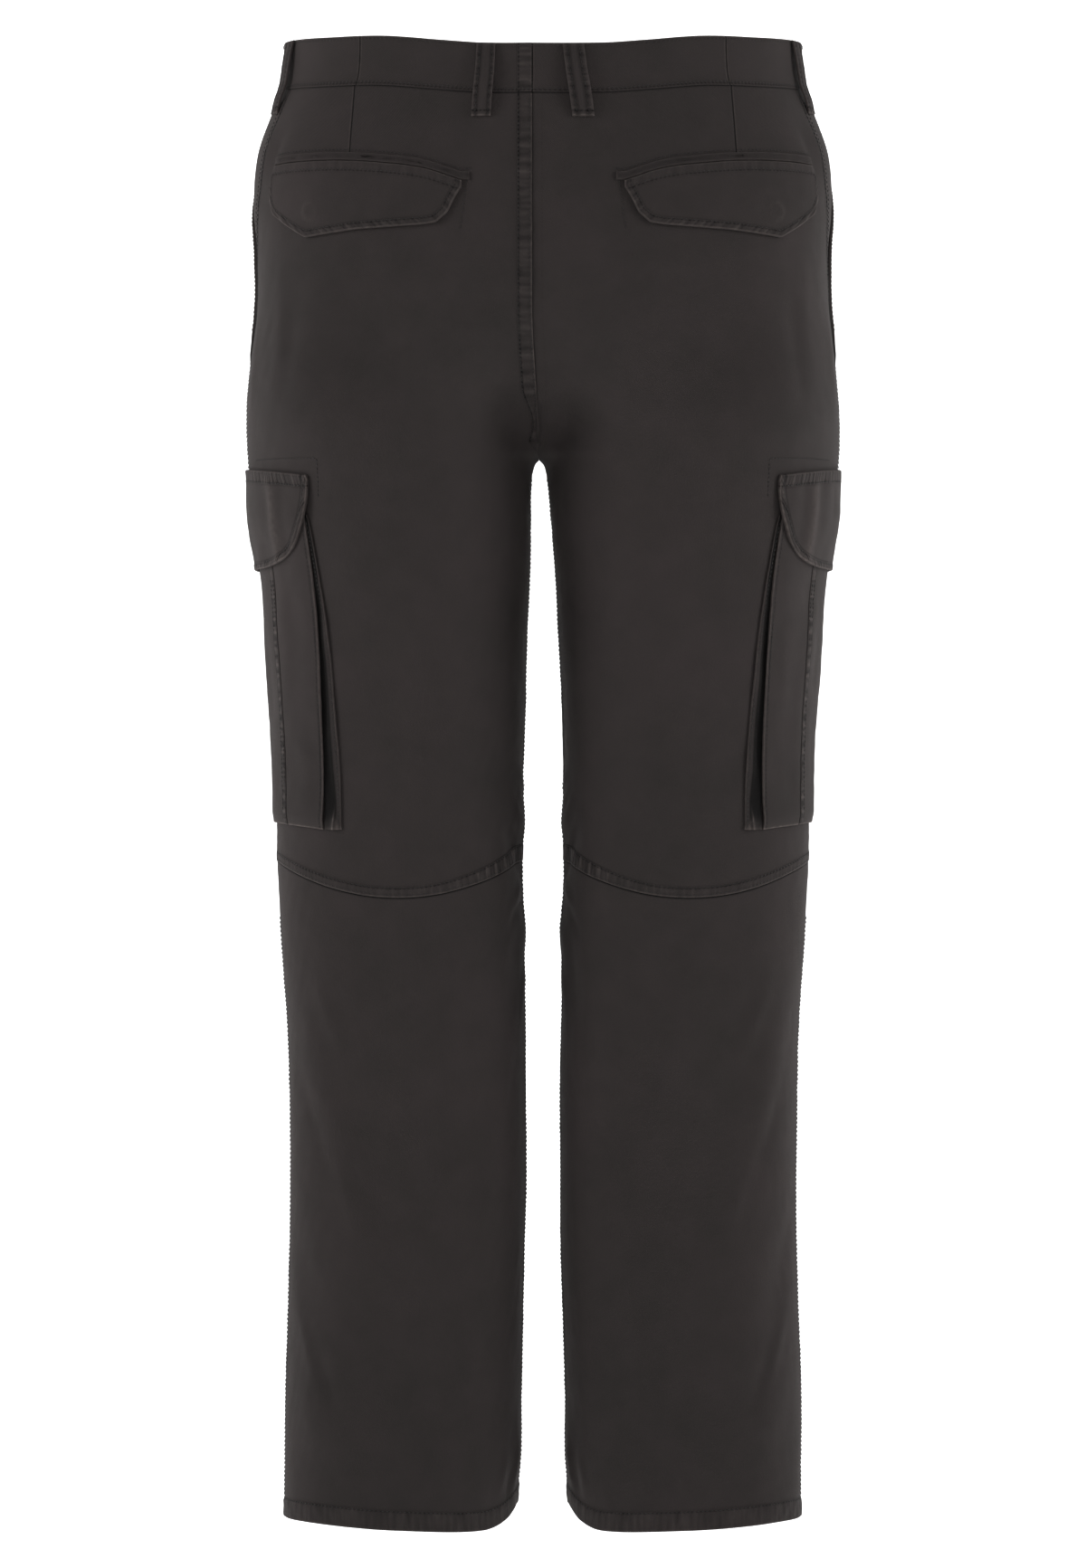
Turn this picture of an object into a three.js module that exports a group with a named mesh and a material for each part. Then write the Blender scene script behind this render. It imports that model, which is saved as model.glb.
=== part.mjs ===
import * as THREE from 'three';

// Cargo trousers, filled out as if worn. Millimetres, Z up.
// -Y is the wearer's back and +X the wearer's right. The origin is the middle of the waist,
// at half the height of the waistband. Each half is worked out for +X and mirrored for -X.

// Driving dimensions of the cloth and its seams
const SEAM_GAP = 0.3;
const CLOTH = 1.6;
const BAND_CLOTH = 2.4;
const BAND_LIFT = 0.6;
const BAND_HEIGHT = 37;
const BAND_TOP = [
  { around: -1, z: 2 },
  { around: -0.75, z: 3.5 },
  { around: -0.5, z: 9 },
  { around: -0.25, z: 18 },
  { around: 0, z: 25.2 },
  { around: 0.15, z: 23.3 },
  { around: 0.3, z: 20.5 },
  { around: 0.45, z: 18.2 },
  { around: 0.57, z: 13.6 },
  { around: 0.7, z: 10.4 },
  { around: 1, z: 9.9 },
];

// The fork: where the seat closes under the body and becomes two legs
const CROTCH_Z = -291;
const FORK_RISE = { back: 110, front: 70 };
const FORK_BLEND = { side: 110, centre: 45 };
const FORK_SOFTNESS = 45;
const FORK_LAP = 0.8;
const ARCH_DROP = 14;
const ARCH_SHARPNESS = 6;
const LEG_SQUARE = 2.1;

// The centre back seam lies this far towards the wearer's left, as it is worn
const SEAT_SEAM_DRIFT = 8;
const SEAT_SEAM_DRIFT_WIDTH = 60;
const FORK_DRIFT = 3;

// Knee seam and hem
const KNEE_SEAM_Z = -596.5;
const KNEE_SEAM_DIP = 26.5;
const HEM = [
  { around: -1, z: -1083 },
  { around: -0.75, z: -1089.5 },
  { around: -0.5, z: -1092 },
  { around: -0.25, z: -1093.5 },
  { around: 0, z: -1095.2 },
  { around: 0.25, z: -1095 },
  { around: 0.5, z: -1098 },
  { around: 0.75, z: -1100.5 },
  { around: 0.85, z: -1095.5 },
  { around: 0.92, z: -1088.5 },
  { around: 1, z: -1083 },
];

// Side seam: behind the hip bone at the waist, at the side from the thigh down
const SIDE_SEAM_LEAN = { around: 0.128, top: -40, bottom: -210 };

// Horizontal sections of one half. outer and inner are distances from the middle plane,
// front and back from the plane of the side seams, centre is the Y of the section's widest
// point, and square is the roundness of the hip section, 2 being an ellipse.
const SECTIONS = [
  { z: 30, outer: 196.5, inner: 6, front: 127, back: 130, centre: 0, square: 2.12 },
  { z: -9, outer: 198.6, inner: 6, front: 130, back: 132, centre: 0, square: 2.14 },
  { z: -30, outer: 207.2, inner: 6, front: 132, back: 136, centre: 0, square: 2.16 },
  { z: -60, outer: 217.4, inner: 6, front: 135, back: 143, centre: 0, square: 2.2 },
  { z: -95, outer: 220.1, inner: 6, front: 137, back: 151, centre: -1, square: 2.25 },
  { z: -135, outer: 217.6, inner: 6, front: 136, back: 158, centre: -2, square: 2.32 },
  { z: -175, outer: 217.6, inner: 6, front: 133, back: 161, centre: -3, square: 2.4 },
  { z: -216, outer: 221.8, inner: 5.5, front: 129, back: 160, centre: -3, square: 2.55 },
  { z: -257, outer: 225, inner: 5.3, front: 124, back: 154, centre: -4, square: 2.75 },
  { z: -291, outer: 224, inner: 5.3, front: 120, back: 146, centre: -4, square: 2.9 },
  { z: -322, outer: 220.2, inner: 7.4, front: 116, back: 137, centre: -4, square: 2.9 },
  { z: -362, outer: 214, inner: 9.2, front: 111, back: 127, centre: -3, square: 2.9 },
  { z: -423, outer: 207.5, inner: 12.3, front: 104, back: 112, centre: -1, square: 2.9 },
  { z: -485, outer: 203.5, inner: 14.5, front: 98, back: 100, centre: 1, square: 2.9 },
  { z: -545, outer: 201.8, inner: 16.2, front: 94, back: 90, centre: 2, square: 2.9 },
  { z: -594, outer: 202.3, inner: 16.4, front: 91, back: 84, centre: 3, square: 2.9 },
  { z: -650, outer: 200, inner: 15.6, front: 86, back: 80, centre: 2, square: 2.9 },
  { z: -734, outer: 194, inner: 14.1, front: 80, back: 78, centre: 0, square: 2.9 },
  { z: -858, outer: 192.2, inner: 13.5, front: 75, back: 78, centre: -2, square: 2.9 },
  { z: -982, outer: 195, inner: 16.8, front: 73, back: 76, centre: -2, square: 2.9 },
  { z: -1060, outer: 196, inner: 19, front: 73, back: 73, centre: 0, square: 2.9 },
  { z: -1110, outer: 196.3, inner: 20.5, front: 73, back: 71, centre: 0, square: 2.9 },
];

// The largest folds. around is measured in millimetres from the side seam towards the back
// (negative towards the front) on a half section 300 mm long, slant turns the fold's length
// in degrees, and high is positive for a ridge and negative for a trough.
const AROUND_SCALE = 300;
const FOLDS = [
  { half: 'both', around: 148, z: -215, long: 150, wide: 26, slant: 4, high: -2.2 },
  { half: 'both', around: 100, z: -200, long: 150, wide: 24, slant: -4, high: 1.8 },
  { half: 'both', around: 236, z: -262, long: 80, wide: 20, slant: 38, high: -2.4 },
  { half: 'both', around: 262, z: -340, long: 110, wide: 20, slant: 22, high: 2.6 },
  { half: 'both', around: 236, z: -395, long: 130, wide: 24, slant: 24, high: -2.4 },
  { half: 'both', around: 180, z: -430, long: 180, wide: 30, slant: 8, high: 1.8 },
  { half: 'both', around: 286, z: -560, long: 80, wide: 13, slant: 48, high: 2.6 },
  { half: 'both', around: 268, z: -584, long: 70, wide: 12, slant: 52, high: -2.4 },
  { half: 'both', around: 290, z: -655, long: 90, wide: 14, slant: -40, high: 2.4 },
  { half: 'both', around: 262, z: -690, long: 110, wide: 18, slant: -30, high: -2.2 },
  { half: 'both', around: 78, z: -760, long: 190, wide: 20, slant: 22, high: 3 },
  { half: 'both', around: 118, z: -800, long: 200, wide: 22, slant: 20, high: -2.8 },
  { half: 'both', around: 52, z: -905, long: 150, wide: 20, slant: 26, high: -2.6 },
  { half: 'both', around: 212, z: -880, long: 220, wide: 30, slant: -6, high: 2 },
  { half: 'both', around: 70, z: -1010, long: 120, wide: 22, slant: 30, high: 2.4 },
  { half: 'both', around: 282, z: -1045, long: 90, wide: 16, slant: -8, high: 2.2 },
  { half: 'both', around: -60, z: -320, long: 130, wide: 24, slant: 10, high: 2 },
  { half: 'both', around: -232, z: -250, long: 100, wide: 20, slant: -44, high: -2.6 },
  { half: 'both', around: -258, z: -318, long: 120, wide: 20, slant: -30, high: 2.6 },
  { half: 'both', around: -205, z: -360, long: 150, wide: 24, slant: -26, high: -2.2 },
  { half: 'both', around: -150, z: -560, long: 120, wide: 22, slant: 70, high: 2 },
  { half: 'both', around: -160, z: -640, long: 130, wide: 20, slant: -72, high: -2.2 },
  { half: 'both', around: -240, z: -600, long: 90, wide: 16, slant: -50, high: 2.4 },
  { half: 'both', around: -120, z: -760, long: 190, wide: 26, slant: 12, high: 2.2 },
  { half: 'both', around: -190, z: -870, long: 200, wide: 26, slant: -12, high: -2.4 },
  { half: 'both', around: -90, z: -985, long: 150, wide: 22, slant: -24, high: 2.4 },
  { half: 'left', around: 150, z: -690, long: 120, wide: 22, slant: -14, high: 1.8 },
  { half: 'right', around: 160, z: -730, long: 140, wide: 22, slant: 12, high: 1.8 },
  { half: 'left', around: 170, z: -1000, long: 130, wide: 22, slant: 14, high: -1.8 },
  { half: 'right', around: 150, z: -960, long: 150, wide: 24, slant: -10, high: -1.8 },
];

// Back pocket, laid out on the seat: along is the distance from the centre back seam
const BACK_POCKET = { inner: 60, outer: 230, cloth: 1.8, lift: 0.8 };
const BACK_FLAP_TOP = [
  { along: 60, z: -94.2 },
  { along: 90, z: -84.1 },
  { along: 126, z: -78.8 },
  { along: 157, z: -75.9 },
  { along: 190, z: -74.6 },
  { along: 218, z: -74.6 },
  { along: 225, z: -76.5 },
  { along: 230, z: -92 },
];
const BACK_FLAP_BOTTOM = [
  { along: 60, z: -99 },
  { along: 65, z: -107 },
  { along: 70, z: -118 },
  { along: 79, z: -125.7 },
  { along: 90, z: -127 },
  { along: 140, z: -128.9 },
  { along: 186, z: -132.4 },
  { along: 205, z: -122.7 },
  { along: 225, z: -111 },
  { along: 230, z: -101 },
];
const BACK_WELT = { height: 6.2, cloth: 1.2, lift: 0.8, gap: 0.6 };

// Cargo pocket on the outside of the thigh, centred on the side seam
const CARGO = {
  underFlap: 24,
  bottom: -567,
  bottomSag: 5,
  seam: 66,
  faceTop: -345,
  faceHalfTop: 116.5,
  faceHalfBottom: 87.3,
  cloth: 1.4,
  faceLift: 3.8,
  faceSwell: 1.6,
  bellowsTop: -338,
  bellowsTopWidth: 2.6,
  bellowsSpread: 12.6,
  bellowsCloth: 1.1,
  hemDepth: 9,
};
const CARGO_FLAP = {
  half: 130,
  top: -299,
  topSag: 9.5,
  cloth: 2.2,
  liftTop: 3.2,
  liftBottom: 7,
  opening: 44,
};
const CARGO_FLAP_BOTTOM = [
  { across: 0, z: -375 },
  { across: 52, z: -374.8 },
  { across: 71, z: -373 },
  { across: 88, z: -368.8 },
  { across: 99, z: -362.5 },
  { across: 108, z: -354 },
  { across: 114, z: -346 },
  { across: 120, z: -336.5 },
  { across: 126, z: -324 },
  { across: 130, z: -312 },
];
const QUIET_FOLDS = { half: 138, top: -290, bottom: -580, share: 0.3, edge: 30 };

// Belt loops
const LOOP = { length: 55, cloth: 1.6, standOff: 2.8, tackLift: 0.8 };

// Hip pocket: the mouth runs from the waistband to the side seam
const MOUTH = { around: -0.135, bottom: -196, underlap: 12, lift: 2.4, settled: 42, end: 34 };
const FACING_CLOTH = 1.2;

// Fly and waist button
const FLY = { width: 38, bottom: -182, cloth: 1.1, lift: 0.4 };
const BAND_TAB = { length: 26, cloth: 2, gap: 0.4 };
const BUTTON = { radius: 8.5, height: 3.4, rim: 1.1, dish: 0.9, along: 11, gap: 0.3 };

const CLOTH_COLOUR = 0x383332;
const BUTTON_COLOUR = 0x1f1c1b;

const clamp = (value, low, high) => Math.min(high, Math.max(low, value));
const mix = (a, b, share) => a + (b - a) * share;
const smooth = (share) => {
  const s = clamp(share, 0, 1);
  return s * s * (3 - 2 * s);
};

// A smooth curve through rows of a table, sorted by rising key
function curveThrough(rows, key, column, at) {
  const last = rows.length - 1;
  const x = clamp(at, rows[0][key], rows[last][key]);
  let k = 0;
  while (k < last - 1 && rows[k + 1][key] < x) k += 1;
  const slope = (i) => {
    const a = rows[Math.max(i - 1, 0)];
    const b = rows[Math.min(i + 1, last)];
    return (b[column] - a[column]) / (b[key] - a[key]);
  };
  const span = rows[k + 1][key] - rows[k][key];
  const s = (x - rows[k][key]) / span;
  const startWeight = 2 * s ** 3 - 3 * s ** 2 + 1;
  const endWeight = 3 * s ** 2 - 2 * s ** 3;
  const startSlope = (s ** 3 - 2 * s ** 2 + s) * span * slope(k);
  const endSlope = (s ** 3 - s ** 2) * span * slope(k + 1);
  return rows[k][column] * startWeight + rows[k + 1][column] * endWeight + startSlope + endSlope;
}

const risingSections = [...SECTIONS].reverse();
const sectionCache = new Map();
function sectionAt(z) {
  if (!sectionCache.has(z)) {
    const section = {};
    for (const column of ['outer', 'inner', 'front', 'back', 'centre', 'square']) {
      section[column] = curveThrough(risingSections, 'z', column, z);
    }
    sectionCache.set(z, section);
  }
  return sectionCache.get(z);
}

const signedPower = (value, power) => Math.sign(value) * Math.abs(value) ** power;

// Quarter of an ellipse: 0 at the start, 1 at the end, upright at the start
const quarterRound = (share) => Math.sqrt(1 - (1 - clamp(share, 0, 1)) ** 2);

// A point of the cloth's outside without folds. around is 0 at the side, 1 at the centre
// back or inseam, and -1 at the centre front or inseam.
function plainPoint(around, z) {
  const { outer, inner, front, back, centre, square } = sectionAt(z);
  const facing = around >= 0 ? 1 : -1;
  const depth = facing > 0 ? back + centre : front - centre;
  const angle = Math.PI * around;
  const c = Math.cos(angle);
  const reach = 1 - quarterRound((CROTCH_Z - z) / ARCH_DROP);
  const half = (outer - inner) / 2;
  const x = inner + half + half * signedPower(c, 2 / LEG_SQUARE) - inner * reach * Math.max(0, -c) ** ARCH_SHARPNESS;
  const legY = centre - depth * signedPower(Math.sin(angle), 2 / LEG_SQUARE);
  if (z <= CROTCH_Z) return new THREE.Vector3(x, legY, z);

  // Above the fork the two halves meet in the middle plane, along the rise of the seat seam
  const rise = facing > 0 ? FORK_RISE.back : FORK_RISE.front;
  const closed = quarterRound((z - CROTCH_Z) / rise);
  const middleY = centre - facing * depth * closed;
  const hipY = centre - facing * depth * (1 - clamp(x / outer, 0, 1) ** square) ** (1 / square)
    + (middleY - centre + facing * depth) * Math.exp(-((x / FORK_SOFTNESS) ** 2));
  const lap = Math.max(0, (Math.abs(around) - FORK_LAP) / (1 - FORK_LAP)) ** 2;
  const forkY = legY + (middleY - centre) * lap;
  const blend = mix(FORK_BLEND.side, FORK_BLEND.centre, Math.abs(around));
  return new THREE.Vector3(x, mix(forkY, hipY, smooth((z - CROTCH_Z) / blend)), z);
}

// The outward direction of a surface given by its point function
function outward(pointAt, around, z) {
  const stepAround = 0.008;
  const stepDown = 2.5;
  const a0 = clamp(around - stepAround, -1, 1);
  const a1 = clamp(around + stepAround, -1, 1);
  const across = pointAt(a1, z).sub(pointAt(a0, z));
  const down = pointAt(around, z - stepDown).sub(pointAt(around, z + stepDown));
  return across.cross(down).normalize();
}

// How far the folds move the cloth outwards. They are low under the cargo pocket.
function foldHeight(half, around, z) {
  const { half: quietHalf, top, bottom, share: quietShare, edge } = QUIET_FOLDS;
  const beside = smooth((Math.abs(around * AROUND_SCALE) - quietHalf) / edge);
  const aboveOrBelow = smooth(Math.max(z - top, bottom - z) / edge);
  const loudness = mix(quietShare, 1, Math.max(beside, aboveOrBelow));
  let height = 0;
  for (const fold of FOLDS) {
    if (fold.half !== 'both' && fold.half !== half) continue;
    const turn = THREE.MathUtils.degToRad(fold.slant);
    const across = around * AROUND_SCALE - fold.around;
    const up = z - fold.z;
    const length = up * Math.cos(turn) - across * Math.sin(turn);
    const width = across * Math.cos(turn) + up * Math.sin(turn);
    const share = Math.abs(length) / (fold.long / 2);
    if (share < 1) height += fold.high * Math.cos((share * Math.PI) / 2) ** 2 * Math.exp(-((width / fold.wide) ** 2));
  }
  return height * loudness;
}

function foldedPoint(half, around, z) {
  const height = foldHeight(half, around, z);
  const point = plainPoint(around, z);
  return height === 0 ? point : point.addScaledVector(outward(plainPoint, around, z), height);
}

// Distance along a plain section, from the side to around
const ARC_STEPS = 48;
const arcCache = new Map();
function arcTable(facing, z) {
  const key = `${facing} ${z.toFixed(3)}`;
  if (!arcCache.has(key)) {
    const table = [{ arc: 0, around: 0 }];
    let previous = plainPoint(0, z);
    for (let k = 1; k <= ARC_STEPS; k += 1) {
      const point = plainPoint((facing * k) / ARC_STEPS, z);
      table.push({ arc: table[k - 1].arc + point.distanceTo(previous), around: k / ARC_STEPS });
      previous = point;
    }
    arcCache.set(key, table);
  }
  return arcCache.get(key);
}

function aroundAtArc(facing, z, arc) {
  const table = arcTable(facing, z);
  let k = 1;
  while (k < ARC_STEPS && table[k].arc < arc) k += 1;
  const share = (arc - table[k - 1].arc) / (table[k].arc - table[k - 1].arc);
  return clamp(mix(table[k - 1].around, table[k].around, share), 0, 1);
}

// around, for a distance from the side (positive towards the back)
const aroundFromSide = (z, distance) => Math.sign(distance) * aroundAtArc(distance < 0 ? -1 : 1, z, Math.abs(distance));

// around, for a distance from the centre back (facing 1) or centre front (facing -1)
const aroundFromCentre = (z, distance, facing = 1) => facing * aroundAtArc(facing, z, arcTable(facing, z)[ARC_STEPS].arc - distance);

// Edges that several pieces share
const bandTop = (around) => curveThrough(BAND_TOP, 'around', 'z', around);
const bandBottom = (around) => bandTop(around) - BAND_HEIGHT;
const sideSeam = (z) => SIDE_SEAM_LEAN.around * smooth((z - SIDE_SEAM_LEAN.bottom) / (SIDE_SEAM_LEAN.top - SIDE_SEAM_LEAN.bottom));
const kneeSeam = (around) => KNEE_SEAM_Z - KNEE_SEAM_DIP * Math.sin(Math.PI * clamp(around, 0, 1)) ** 2;
const hem = (around) => curveThrough(HEM, 'around', 'z', around);
const mouth = (z) => mix(sideSeam(z), MOUTH.around, smooth((z - MOUTH.bottom) / (bandBottom(0) - MOUTH.bottom)));

// The front stands off the facing along the mouth, and lies flat again further on
function mouthLift(around, z) {
  const beyond = (mouth(z) - around) * AROUND_SCALE;
  const below = MOUTH.bottom - z;
  return MOUTH.lift * smooth((MOUTH.settled - beyond) / 22) * smooth((MOUTH.end - below) / 22);
}

// Moves a point of the +X half to its real place in either half
function settle(half, point) {
  const x = Math.max(point.x, SEAM_GAP / 2) * (half === 'left' ? -1 : 1);
  const middle = smooth(1 - Math.abs(x) / SEAT_SEAM_DRIFT_WIDTH);
  const behind = smooth(-point.y / SEAT_SEAM_DRIFT_WIDTH);
  const above = smooth((point.z - CROTCH_Z) / FORK_RISE.back);
  const nearFork = smooth((point.z - CROTCH_Z + FORK_RISE.back) / FORK_RISE.back);
  const drift = mix(FORK_DRIFT * nearFork, SEAT_SEAM_DRIFT * behind, above);
  return new THREE.Vector3(x - drift * middle, point.y, point.z);
}

// A closed wall between two grids of points
function wallGeometry(columns, rows, pairAt) {
  const stride = columns + 1;
  const count = stride * (rows + 1);
  const points = new Array(count * 2);
  for (let j = 0; j <= rows; j += 1) {
    for (let i = 0; i <= columns; i += 1) {
      const [outer, inner] = pairAt(i, j);
      points[j * stride + i] = outer;
      points[count + j * stride + i] = inner;
    }
  }
  const index = [];
  for (let j = 0; j < rows; j += 1) {
    for (let i = 0; i < columns; i += 1) {
      const a = j * stride + i;
      const b = a + 1;
      const c = a + stride;
      const d = c + 1;
      const crossFirst = points[a].distanceTo(points[d]) <= points[b].distanceTo(points[c]);
      const faces = crossFirst ? [[a, c, d], [a, d, b]] : [[a, c, b], [b, c, d]];
      for (const [p, q, r] of faces) {
        index.push(p, q, r);
        index.push(count + p, count + r, count + q);
      }
    }
  }
  const border = [];
  for (let j = 0; j < rows; j += 1) border.push(j * stride);
  for (let i = 0; i < columns; i += 1) border.push(rows * stride + i);
  for (let j = rows; j > 0; j -= 1) border.push(j * stride + columns);
  for (let i = columns; i > 0; i -= 1) border.push(i);
  border.forEach((p, k) => {
    const q = border[(k + 1) % border.length];
    index.push(p, count + p, q);
    index.push(q, count + p, count + q);
  });
  return solidGeometry(points, index);
}

// Turns points and triangles into a geometry whose faces point out
function solidGeometry(points, index) {
  let volume = 0;
  for (let k = 0; k < index.length; k += 3) {
    const [a, b, c] = [points[index[k]], points[index[k + 1]], points[index[k + 2]]];
    volume += a.dot(new THREE.Vector3().crossVectors(b, c));
  }
  if (volume < 0) index.reverse();
  const geometry = new THREE.BufferGeometry();
  geometry.setAttribute('position', new THREE.Float32BufferAttribute(points.flatMap((p) => [p.x, p.y, p.z]), 3));
  geometry.setIndex(index);
  geometry.computeVertexNormals();
  return geometry;
}

const garment = new THREE.Group();

function addPiece(name, geometry, colour = CLOTH_COLOUR, roughness = 0.92) {
  const mesh = new THREE.Mesh(geometry, new THREE.MeshStandardMaterial({ color: colour, roughness, metalness: 0 }));
  mesh.name = name;
  garment.add(mesh);
}

// The outside and inside points of a piece of cloth at one place. lift is how far its outside
// stands off the cloth's own surface, and cloth is its thickness.
function clothPair(half, around, z, lift, cloth) {
  const outside = (a, h) => foldedPoint(half, a, h);
  const point = outside(around, z);
  const normal = outward(outside, around, z);
  return [
    settle(half, point.clone().addScaledVector(normal, lift)),
    settle(half, point.clone().addScaledVector(normal, lift - cloth)),
  ];
}

// A panel of the garment's own surface: from and to give its upright edges at a height, and
// levels the heights of its rows at a place around
function panel(name, half, { from, to, levels, columns, cloth = CLOTH, lift = () => 0 }) {
  const rows = levels(0).length - 1;
  addPiece(name, wallGeometry(columns, rows, (i, j) => {
    let around = mix(from(CROTCH_Z), to(CROTCH_Z), i / columns);
    let z = 0;
    for (let settleStep = 0; settleStep < 4; settleStep += 1) {
      z = levels(around)[j];
      around = mix(from(z), to(z), i / columns);
    }
    return clothPair(half, around, z, lift(around, z), cloth);
  }));
}

// A piece laid on the garment, from its flat pattern: across is a list of distances, and top and
// bottom give its outline at each. around turns a distance at a height into a place.
function layer(name, half, { across, top, bottom, rows, around, lift, cloth }) {
  addPiece(name, wallGeometry(across.length - 1, rows, (i, j) => {
    const z = mix(top(across[i]), bottom(across[i]), j / rows);
    const thickness = typeof cloth === 'function' ? cloth(across[i], z) : cloth;
    return clothPair(half, around(z, across[i]), z, lift(across[i], z), thickness);
  }));
}

const evenly = (from, to, steps) => Array.from({ length: steps + 1 }, (_, k) => mix(from, to, k / steps));

// Heights of the rows from the waistband to just under the fork: closer where the seam curves
const HIP_ROWS = 6;
const FORK_ROWS = 7;
const ARCH_ROWS = 3;
const ARCH_SIDE_SPREAD = 46;
function upperLevels(around) {
  const top = bandBottom(around) - SEAM_GAP;
  const forkTop = CROTCH_Z + FORK_RISE.back;
  const toMiddle = Math.abs(around) ** 2;
  const levels = evenly(top, forkTop, HIP_ROWS);
  for (let k = 1; k <= FORK_ROWS; k += 1) {
    const share = 1 - k / FORK_ROWS;
    levels.push(CROTCH_Z + FORK_RISE.back * mix(share, share ** 2, toMiddle));
  }
  for (let k = 1; k <= ARCH_ROWS; k += 1) {
    const share = k / ARCH_ROWS;
    levels.push(CROTCH_Z - mix(ARCH_SIDE_SPREAD * share, ARCH_DROP * share ** 2, toMiddle));
  }
  return levels;
}

// The rows from the last one above down to an edge
const downTo = (levels, edge, rows) => [...levels, ...evenly(levels[levels.length - 1], edge, rows).slice(1)];

const THIGH_ROWS = 9;
const CALF_ROWS = 15;
const BACK_COLUMNS = 15;
const FRONT_COLUMNS = 14;
const HALF_GAP = SEAM_GAP / 2;

// A place moved along the section by a small distance
const nudge = (around, z, distance) => {
  const step = 0.01;
  const rate = plainPoint(clamp(around + step, -1, 1), z).distanceTo(plainPoint(clamp(around - step, -1, 1), z)) / (2 * step);
  return around + distance / rate;
};

function legPanels(half) {
  // The halves meet in the middle plane, and below the fork the back meets the front
  const legSeam = (z) => (HALF_GAP / 2) * smooth((CROTCH_Z + 40 - z) / 30);
  const centreBack = (z) => nudge(1, z, -legSeam(z));
  const centreFront = (z) => nudge(-1, z, legSeam(z));
  const backOfSide = (z) => nudge(sideSeam(z), z, HALF_GAP);
  const frontOfSide = (z) => nudge(mouth(z), z, -HALF_GAP);

  panel(`back_upper_${half}`, half, {
    from: backOfSide,
    to: centreBack,
    levels: (around) => downTo(upperLevels(around), kneeSeam(around) + HALF_GAP, THIGH_ROWS),
    columns: BACK_COLUMNS,
  });
  panel(`back_lower_${half}`, half, {
    from: backOfSide,
    to: centreBack,
    levels: (around) => evenly(kneeSeam(around) - HALF_GAP, hem(around), CALF_ROWS - 1),
    columns: BACK_COLUMNS,
  });
  panel(`front_${half}`, half, {
    from: frontOfSide,
    to: centreFront,
    levels: (around) => downTo(downTo(upperLevels(around), KNEE_SEAM_Z, THIGH_ROWS), hem(around), CALF_ROWS - 1),
    columns: FRONT_COLUMNS,
    lift: mouthLift,
  });

  // The hip pocket's facing fills the mouth and runs on under the front
  panel(`hip_pocket_facing_${half}`, half, {
    from: (z) => nudge(mouth(z), z, -MOUTH.underlap),
    to: (z) => nudge(sideSeam(z), z, -HALF_GAP),
    levels: (around) => upperLevels(around).slice(0, HIP_ROWS + 2),
    columns: 5,
    cloth: FACING_CLOTH,
    lift: (around, z) => -FACING_CLOTH * smooth(((mouth(z) - around) * AROUND_SCALE) / MOUTH.underlap),
  });
}

function waistband(half) {
  const levels = (around) => evenly(bandTop(around), bandBottom(around), 2);
  const dart = 0.389;
  const frontEnd = -0.25;
  const stretches = [
    { name: 'waistband_back', from: dart, to: 1, columns: 7 },
    { name: 'waistband_side', from: frontEnd, to: dart, columns: 9 },
    { name: 'waistband_front', from: -1, to: frontEnd, columns: 9 },
  ];
  for (const { name, from, to, columns } of stretches) {
    panel(`${name}_${half}`, half, {
      from: (z) => (from === -1 ? from : nudge(from, z, HALF_GAP)),
      to: (z) => (to === 1 ? to : nudge(to, z, -HALF_GAP)),
      levels,
      columns,
      cloth: BAND_CLOTH,
      lift: () => BAND_LIFT,
    });
  }
}

function backPocket(half) {
  const flapTop = (along) => curveThrough(BACK_FLAP_TOP, 'along', 'z', along);
  const lineBottom = (along) => {
    const k = clamp(BACK_FLAP_BOTTOM.findIndex((row) => row.along >= along), 1, BACK_FLAP_BOTTOM.length - 1);
    const [a, b] = [BACK_FLAP_BOTTOM[k - 1], BACK_FLAP_BOTTOM[k]];
    return mix(a.z, b.z, (along - a.along) / (b.along - a.along));
  };
  layer(`back_pocket_flap_${half}`, half, {
    across: [60, 65, 70, 79, 90, 107, 126, 142, 157, 171, 186, 205, 218, 225, 230],
    top: flapTop,
    bottom: lineBottom,
    rows: 4,
    around: aroundFromCentre,
    lift: (along, z) => BACK_POCKET.lift + BACK_POCKET.cloth + 1.2 * smooth((flapTop(along) - z) / 45),
    cloth: BACK_POCKET.cloth,
  });
  const weltGap = BACK_WELT.gap;
  layer(`back_pocket_welt_${half}`, half, {
    across: evenly(BACK_POCKET.inner - 6, BACK_POCKET.outer - 6, 12),
    top: (along) => flapTop(Math.max(along, BACK_POCKET.inner)) + BACK_WELT.height + weltGap,
    bottom: (along) => flapTop(Math.max(along, BACK_POCKET.inner)) + weltGap,
    rows: 1,
    around: aroundFromCentre,
    lift: () => BACK_WELT.lift + BACK_WELT.cloth,
    cloth: BACK_WELT.cloth,
  });
}

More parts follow.
